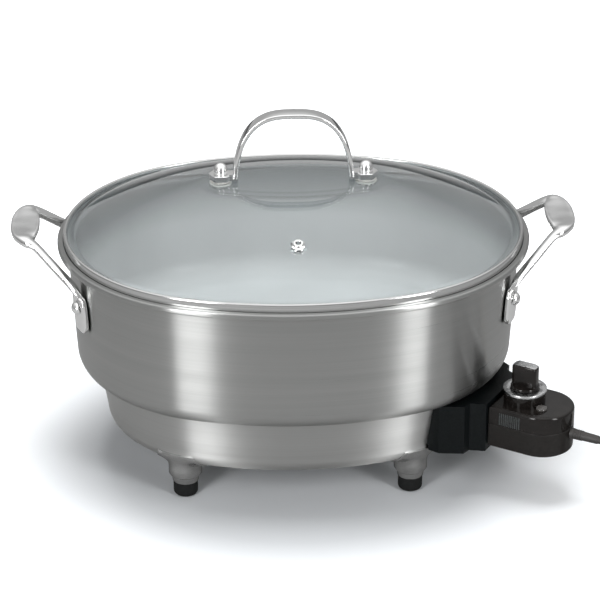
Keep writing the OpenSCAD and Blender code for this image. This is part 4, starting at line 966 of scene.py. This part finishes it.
# Under the pan are a cast plate with its channel, the sheathed heating tube that lies in it, and
# a ceramic bead on each of the tube's ends.
cast_plate = grainy(
    "cast plate", (0.38, 0.38, 0.385), (0.5, 0.5, 0.505), (0.42, 0.6), 350, 0.00012, Metallic=1
)
tube_sheath = grainy(
    "tube sheath", (0.10, 0.09, 0.085), (0.2, 0.18, 0.165), (0.3, 0.5), 180, 0.00004, Metallic=1
)
bead_ceramic = grainy(
    "bead ceramic", (0.74, 0.71, 0.65), (0.84, 0.81, 0.76), (0.55, 0.75), 900, 0.00006
)
recut("plate_casting", ["heat_plate"], "skillet", cast_plate, ease=0.5)
recut("tube_loop", ["heating_tube"], "skillet", tube_sheath, 60)
recut("tube_beads", ["tube_seals"], "skillet", bead_ceramic, ease=0.4)


# The bottom cover is a flat plate of rolled sheet with rows of vent slots, in the base's lower
# opening.
cover_steel = grainy(
    "cover steel", (0.36, 0.362, 0.365), (0.43, 0.432, 0.435), (0.36, 0.5), 240, 0.00003, Metallic=1
)
recut("cover_sheet", ["bottom_cover"], "skillet", cover_steel, ease=0.3)


# The socket's inside: a moulded block behind the nose's recess, two plated pins, and the guide
# that leads the probe in.
pin_metal = grainy(
    "pin metal", (0.62, 0.58, 0.47), (0.72, 0.68, 0.58), (0.14, 0.26), 300, 0.00002, Metallic=1
)
recut("pin_block", ["terminal_block"], "skillet", shroud_plastic, ease=0.4)
recut("pins", ["terminal_pins"], "skillet", pin_metal)
recut("guide", ["probe_guide"], "skillet", pin_metal, ease=0.3)


# Screws hold the feet, the bottom cover, the socket, the lid's handle and the control together.
# One Geometry Nodes tree stands a recessed head and a threaded shank on every screw's place.
def grown(name, inputs, material, build, points=None):
    """A plain mesh grown by a Geometry Nodes tree with named inputs, in millimetres."""
    tree = bpy.data.node_groups.new(name, "GeometryNodeTree")
    tree.interface.new_socket("Geometry", in_out="INPUT", socket_type="NodeSocketGeometry")
    tree.interface.new_socket("Geometry", in_out="OUTPUT", socket_type="NodeSocketGeometry")
    sockets = {}
    for key, (kind, value) in inputs.items():
        made = tree.interface.new_socket(key, in_out="INPUT", socket_type="NodeSocket" + kind)
        sockets[made.identifier] = value
    start = tree.nodes.new("NodeGroupInput")
    end = tree.nodes.new("NodeGroupOutput")
    real = add(tree, "GeometryNodeRealizeInstances", {"Geometry": build(tree, start.outputs)})
    paint = {"Geometry": real.outputs[0], "Material": material}
    tree.links.new(add(tree, "GeometryNodeSetMaterial", paint).outputs[0], end.inputs[0])
    holder = bpy.data.objects.new(name, points or bpy.data.meshes.new(name))
    scene.collection.objects.link(holder)
    change = holder.modifiers.new(name, "NODES")
    change.node_group = tree
    for identifier, value in sockets.items():
        change[identifier] = value
    bpy.context.view_layer.update()
    plain_copy(holder)
    data = holder.data
    bpy.data.objects.remove(holder)
    return data


def hidden_shape(name, mesh):
    """A shape out of sight that a tree repeats."""
    return bpy.data.objects.new(name, mesh_data(name, mesh))


def set_out(tree, points, shape, **given):
    """A shape on every point, with its turn and its scale where they are given."""
    given = {"Points": points, "Instance": shape, **given}
    return add(tree, "GeometryNodeInstanceOnPoints", given).outputs[0]


def shape_of(tree, given):
    """The mesh of a shape that is out of sight."""
    return add(tree, "GeometryNodeObjectInfo", {"Object": given}).outputs["Geometry"]


head_sides = 48
mesh = bmesh.new()
rings = []
levels = [(1, 0), (1, 0.45), (0.95, 0.75), (0.8, 0.92), (0.62, 1), (0.5, 1), (0.34, 1), (0.17, 1)]
for r, z in levels:
    ring = ring_of(mesh, Matrix.Identity(4), r, z, head_sides)
    for v in ring:
        if r < 0.55 and min(abs(v.co.x), abs(v.co.y)) < 0.12:
            v.co.z -= 0.5
    rings.append(ring)
skin(mesh, rings, capped=False)
mesh.faces.new(rings[0])
middle = mesh.verts.new((0, 0, 0.5))
for j in range(head_sides):
    mesh.faces.new([rings[-1][j], rings[-1][(j + 1) % head_sides], middle])
outwards(mesh)
screw_head = hidden_shape("screw head", mesh)
mesh = bmesh.new()
thread = [(0, 0.02)]
for k in range(14):
    thread += [(0.86, 0.02 - k / 14.5), (1.0, -0.03 - k / 14.5)]
turned(mesh, thread + [(0.8, -0.96), (0, -1)], Matrix.Identity(4), 24)
screw_shank = hidden_shape("screw shank", mesh)


def screw_tree(tree, given):
    """Instances a head and a shank on each point, turned to its aim and scaled by its sizes."""

    def kept(key):
        """What each point keeps under a name."""
        read = {"Name": key}
        kind = "GeometryNodeInputNamedAttribute"
        return add(tree, kind, read, data_type="FLOAT_VECTOR").outputs[0]

    aim = {"Vector": kept("aim")}
    turn = add(tree, "FunctionNodeAlignRotationToVector", aim, axis="Z").outputs[0]
    joined = tree.nodes.new("GeometryNodeJoinGeometry")
    for key, size in (("Head", "head"), ("Shank", "shank")):
        shape = shape_of(tree, given[key])
        part = set_out(tree, given["Geometry"], shape, Rotation=turn, Scale=kept(size))
        tree.links.new(part, joined.inputs[0])
    return joined.outputs[0]


screw_steel = grainy(
    "screw steel", (0.5, 0.5, 0.49), (0.6, 0.6, 0.59), (0.22, 0.36), 500, 0.00003, Metallic=1
)


def screws(name, body, nodes, rows):
    """All the screws of one body: rows of place, outward way, head and shank sizes."""
    points = bpy.data.meshes.new(name)
    points.from_pydata([row[0] for row in rows], [], [])
    for k, key in enumerate(("aim", "head", "shank")):
        values = points.attributes.new(key, "FLOAT_VECTOR", "POINT")
        for i, row in enumerate(rows):
            values.data[i].vector = row[k + 1]
    inputs = {"Head": ("Object", screw_head), "Shank": ("Object", screw_shank)}
    data = grown(name, inputs, screw_steel, screw_tree, points)
    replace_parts(piece(name, data, body, 35), *nodes)


down = (0, 0, -1)
rows = []
for sx in (-1, 1):
    for sy in (-1, 1):
        rows.append(((sx * leg_x, sy * leg_y, 5), down, (4, 4, 3), (1.9, 1.9, 12)))
    rows.append(((sx * 135, 0, 35.7), (0, 0, 1), (4, 4, 2.4), (2, 2, 1.2)))
    rows.append((on_axis(104.2, sx * 30, 72.5), -out_way, (3.5, 3.5, 2.4), (1.5, 1.5, 15.6)))
screws("skillet_screws", "skillet", ("foot_screws", "cover_screws", "shroud_screws"), rows)
rows = [((sx * bolt_x, 0, 234.5), down, (5, 5, 2.6), (2.5, 2.5, 15.9)) for sx in (-1, 1)]
screws("handle_bolts", "lid", ("lid_screws",), rows)
rows = []
for u, w in ((143.8, -18), (143.8, 18), (187, 0)):
    rows.append((on_axis(u, w, 47), down, (3, 3, 1.4), (1.25, 1.25, 12.6)))
screws("case_screws", "control", ("control_screws",), rows)


# Between metal and glass lie soft rings: clear gaskets above and below, steel washers on the
# bolts, and a thin gasket and a nut on the vent.
clear_rubber = grainy(
    "clear rubber", (0.5, 0.5, 0.48), (0.6, 0.6, 0.58), (0.35, 0.5), 600, 0.00004
)
recut("upper_gaskets", ["lid_gaskets"], "lid", clear_rubber, ease=0.25)
recut("lower_gaskets", ["lid_inner_gaskets"], "lid", clear_rubber, ease=0.25)
recut("bolt_washers", ["lid_washers"], "lid", screw_steel, ease=0.2)
recut("eyelet_gasket", ["vent_gasket"], "lid", clear_rubber, ease=0.15)
recut("eyelet_nut", ["vent_nut"], "lid", polished_steel, ease=0.25)


# The control's nose goes into the socket: a plain block with a steel probe on its middle line and
# two sleeves beside it. The thermostat sits on the housing's floor behind it.
recut("nose_block", ["control_nose"], "control", control_matte, 35, 0.7, 3)
recut("thermostat_case", ["thermostat"], "control", shroud_plastic, ease=0.5)
recut("probe_rod", ["temperature_probe"], "control", pin_metal, ease=0.6, steps=3)
recut("sleeves", ["terminal_sleeves"], "control", pin_metal, ease=0.2)


# The louvres are a small grille of upright ribs in the housing's near side, and the cord leaves the
# round end through a ribbed sleeve. One tree sets out both rows of ribs.
def rib_row(tree, given):
    """A straight row of ribs at an even pitch, each a little smaller than the one before."""
    pitch = {"Count": given["Count"], "Offset": given["Pitch"]}
    line = add(tree, "GeometryNodeMeshLine", pitch, mode="OFFSET").outputs[0]
    number = add(tree, "GeometryNodeInputIndex").outputs[0]
    scale = maths(tree, "MULTIPLY_ADD", number, given["Shrink"], 1.0)
    sides = add(tree, "ShaderNodeCombineXYZ", {"X": scale, "Y": scale, "Z": 1.0}).outputs[0]
    return set_out(tree, line, shape_of(tree, given["Rib"]), Scale=sides)


def ribs(name, material, place, count, pitch, shrink, rib):
    """A row of ribs on the control."""
    inputs = {
        "Count": ("Int", count),
        "Pitch": ("Vector", pitch),
        "Shrink": ("Float", shrink),
        "Rib": ("Object", rib),
    }
    piece(name, grown(name, inputs, material, rib_row), "control", 35, place)


# The ribs are coloured a lighter grey than the housing's near-black plastic: a painted sheen
# standing in for the light they catch.
louvre_painted_sheen = grainy(
    "louvre painted sheen", (0.025, 0.028, 0.028), (0.045, 0.05, 0.05), (0.25, 0.4), 500, 0.00002
)
mesh = bmesh.new()
rings = []
for z, half_w, r in ((-5.3, 0.3, 0.12), (-5.1, 0.5, 0.2), (5.1, 0.5, 0.2), (5.3, 0.3, 0.12)):
    rings.append([mesh.verts.new((x, y, z)) for x, y in rounded(half_w, half_w, r, 3)])
skin(mesh, rings)
along_axis = Matrix.Rotation(axis_turn, 4, "Z")
on_side = Matrix.Translation(on_axis(147.4, -25.4, 73)) @ along_axis
rib = hidden_shape("rib", mesh)
ribs("louvres", louvre_painted_sheen, on_side, 11, (1.7, 0.0, 0.0), 0.0, rib)

relief_way = along_axis @ Matrix.Rotation(math.radians(90), 4, "Y")
relief_place = Matrix.Translation(on_axis(198.5, 0, relief_z)) @ relief_way
mesh = bmesh.new()
profile = [(3.05, -4.4), (5.3, -4.4), (5.5, -4.2), (5.5, -2.8), (5.3, -2.6), (3.4, -2.6)]
profile += [(3.4, 0.05), (4.2, 0.05), (4.45, 0.3), (4.45, 2.6), (4.2, 3.0), (3.95, 3.2)]
profile += [(3.5, 22.9), (3.4, 23.6), (3.2, 24), (3.05, 24), (3.05, -4.4)]
turned(mesh, profile, relief_place, 40)
sleeve = finished("cord_sleeve", mesh, "control", cord_rubber)
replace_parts(sleeve, "strain_relief")
mesh = bmesh.new()
profile = [(3.0, -0.7), (4.1, -0.7), (4.3, -0.4), (4.3, 0.4), (4.1, 0.7), (3.0, 0.7), (3.0, -0.7)]
turned(mesh, profile, Matrix.Identity(4), 40)
first = relief_place @ Matrix.Translation((0, 0, 4.2))
ring = hidden_shape("ring", mesh)
ribs("sleeve_ribs", cord_rubber, first, 4, (0.0, 0.0, 1.9), -0.012, ring)


# A small lens of smoky clear plastic in the housing's top covers the pilot lamp.
lens_smoke = grainy(
    "lens smoke", (0.36, 0.345, 0.33), (0.48, 0.46, 0.44), (0.03, 0.1), 400,
    detail=3, IOR=1.49, Transmission_Weight=0.85,
)
lens_w = -9.5
lens_u = dial_u + math.sqrt(21.55**2 - lens_w**2)
mesh = bmesh.new()
profile = [(0, -3), (3.4, -3), (3.45, -2.9), (3.45, 0.02), (4.3, 0.02), (4.5, 0.2), (4.5, 0.7)]
for a in range(0, 84, 8):
    profile.append((4.5 * math.cos(math.radians(a)), 0.8 + 1.8 * math.sin(math.radians(a))))
place = Matrix.Translation(on_axis(lens_u, lens_w, case_top))
turned(mesh, profile + [(0, 2.6)], place, 48)
lens = finished("pilot_lens", mesh, "control", lens_smoke)
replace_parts(lens, "indicator_lens")


# The dial turns on the collar: a silver ring with printed ticks and plain numbers, a steel shaft,
# and a glossy finger bar whose curved top is silver.
dial_place = Matrix.Translation(on_axis(dial_u, 0, 0)) @ along_axis
dial_metal = grainy(
    "dial metal", (0.5, 0.505, 0.51), (0.62, 0.625, 0.63), (0.2, 0.32), 260, 0.00003, Metallic=1
)
mesh = bmesh.new()
profile = [(3.1, 90.4), (17.2, 90.4), (17.5, 90.7), (17.5, 92.2), (17.35, 92.55), (16.9, 92.75)]
profile += [(12.3, 92.75), (12.0, 92.6), (3.1, 92.6), (3.1, 90.4)]
turned(mesh, profile, dial_place, 96)
ring_plate = finished("ring_plate", mesh, "dial", dial_metal)
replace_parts(ring_plate, "dial_ring")
recut("shaft_rod", ["dial_shaft"], "dial", screw_steel, ease=0.3)

dial_print = grainy(
    "dial print", (0.01, 0.01, 0.011), (0.02, 0.02, 0.021), (0.4, 0.5), 700, 0.00001
)


def tick_ring(tree, given):
    """Ticks round an arc, every one of them pointing to the middle."""
    line = add(tree, "GeometryNodeMeshLine", {"Count": given["Count"]}, mode="OFFSET").outputs[0]
    number = add(tree, "GeometryNodeInputIndex").outputs[0]
    turn = maths(tree, "MULTIPLY", number, given["Step"])
    places = {}
    for axis, way in (("X", "COSINE"), ("Y", "SINE")):
        places[axis] = maths(tree, "MULTIPLY", maths(tree, way, turn), given["Radius"])
    spot = add(tree, "ShaderNodeCombineXYZ", places).outputs[0]
    arc = add(tree, "GeometryNodeSetPosition", {"Geometry": line, "Position": spot}).outputs[0]
    euler = add(tree, "ShaderNodeCombineXYZ", {"Z": turn}).outputs[0]
    facing = add(tree, "FunctionNodeEulerToRotation", {"Euler": euler}).outputs[0]
    tick = add(tree, "GeometryNodeMeshCube", {"Size": given["Tick Size"]}).outputs[0]
    return set_out(tree, arc, tick, Rotation=facing)


dial_start = -135
inputs = {
    "Count": ("Int", 31),
    "Step": ("Float", math.radians(9)),
    "Radius": ("Float", 16.4),
    "Tick Size": ("Vector", (0.9, 0.28, 0.06)),
}
data = grown("dial_ticks", inputs, dial_print, tick_ring)
turn = Matrix.Rotation(math.radians(dial_start), 4, "Z")
place = dial_place @ turn @ Matrix.Translation((0, 0, 92.76))
piece("dial_ticks", data, "dial", 35, place)

mesh = bmesh.new()
for k, number in enumerate(("0", "150", "200", "250", "300", "350", "400")):
    letters = bpy.data.curves.new("number", "FONT")
    letters.body = number
    letters.size = 3.1
    letters.align_x = letters.align_y = "CENTER"
    letters.extrude = 0.02
    letters.offset = 0.035
    shown = bpy.data.objects.new("number", letters)
    scene.collection.objects.link(shown)
    bpy.context.view_layer.update()
    seen = shown.evaluated_get(bpy.context.evaluated_depsgraph_get())
    data = bpy.data.meshes.new_from_object(seen)
    bpy.data.objects.remove(shown)
    turn = Matrix.Rotation(math.radians(dial_start + 45 * k), 4, "Z")
    upright = Matrix.Rotation(math.radians(90), 4, "Z")
    data.transform(dial_place @ turn @ Matrix.Translation((14.1, 0, 92.77)) @ upright)
    mesh.from_mesh(data)
    bpy.data.meshes.remove(data)
finished("dial_numbers", mesh, "dial", dial_print)


def bar_top(u):
    """Height of the finger bar's curved top."""
    return 84.4 + math.sqrt(29.4**2 - u * u)


def bar_ring(mesh, inset, drop=None, level=None):
    """One level of the finger bar: a long oval with tight corners."""
    half_l, half_t = 10.5 - inset, 4.75 - inset
    ring = []
    for u, w in rounded(half_l, half_t, min(2.9, half_t), 8):
        z = level if drop is None else bar_top(u) - drop
        ring.append(mesh.verts.new(dial_place @ Vector((u, w, z))))
    return ring


mesh = bmesh.new()
rings = [bar_ring(mesh, inset, level=z) for inset, z in ((0.9, 94), (0.0, 95.2), (0.0, 104))]
for inset, drop in ((0, 1.2), (0.12, 0.75), (0.35, 0.45), (0.7, 0.35), (1.6, 0.35), (4.2, 0.35)):
    rings.append(bar_ring(mesh, inset, drop))
skin(mesh, rings)
profile = [(0, 92.85), (11.3, 92.85), (11.5, 93.1), (11.5, 94.6), (11.2, 95.1), (10.6, 95.3)]
turned(mesh, profile + [(0, 95.3)], dial_place, 72)
bar = finished("finger_bar", mesh, "dial", control_gloss)
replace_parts(bar, "dial_knob")
mesh = bmesh.new()
rings = []
for inset, drop in ((0.75, 0.8), (0.75, 0.12), (0.95, 0.0), (1.8, 0.0), (3.0, 0.0), (4.4, 0.0)):
    rings.append(bar_ring(mesh, inset, drop))
skin(mesh, rings)
finished("bar_cap", mesh, "dial", dial_metal)


# The plug's two flat blades are brass.
blade_brass = grainy(
    "blade brass", (0.6, 0.45, 0.2), (0.7, 0.54, 0.27), (0.2, 0.34), 300, 0.00003, Metallic=1
)
blades = recut("blades", ["plug_blades"], "control", blade_brass, ease=0.3)
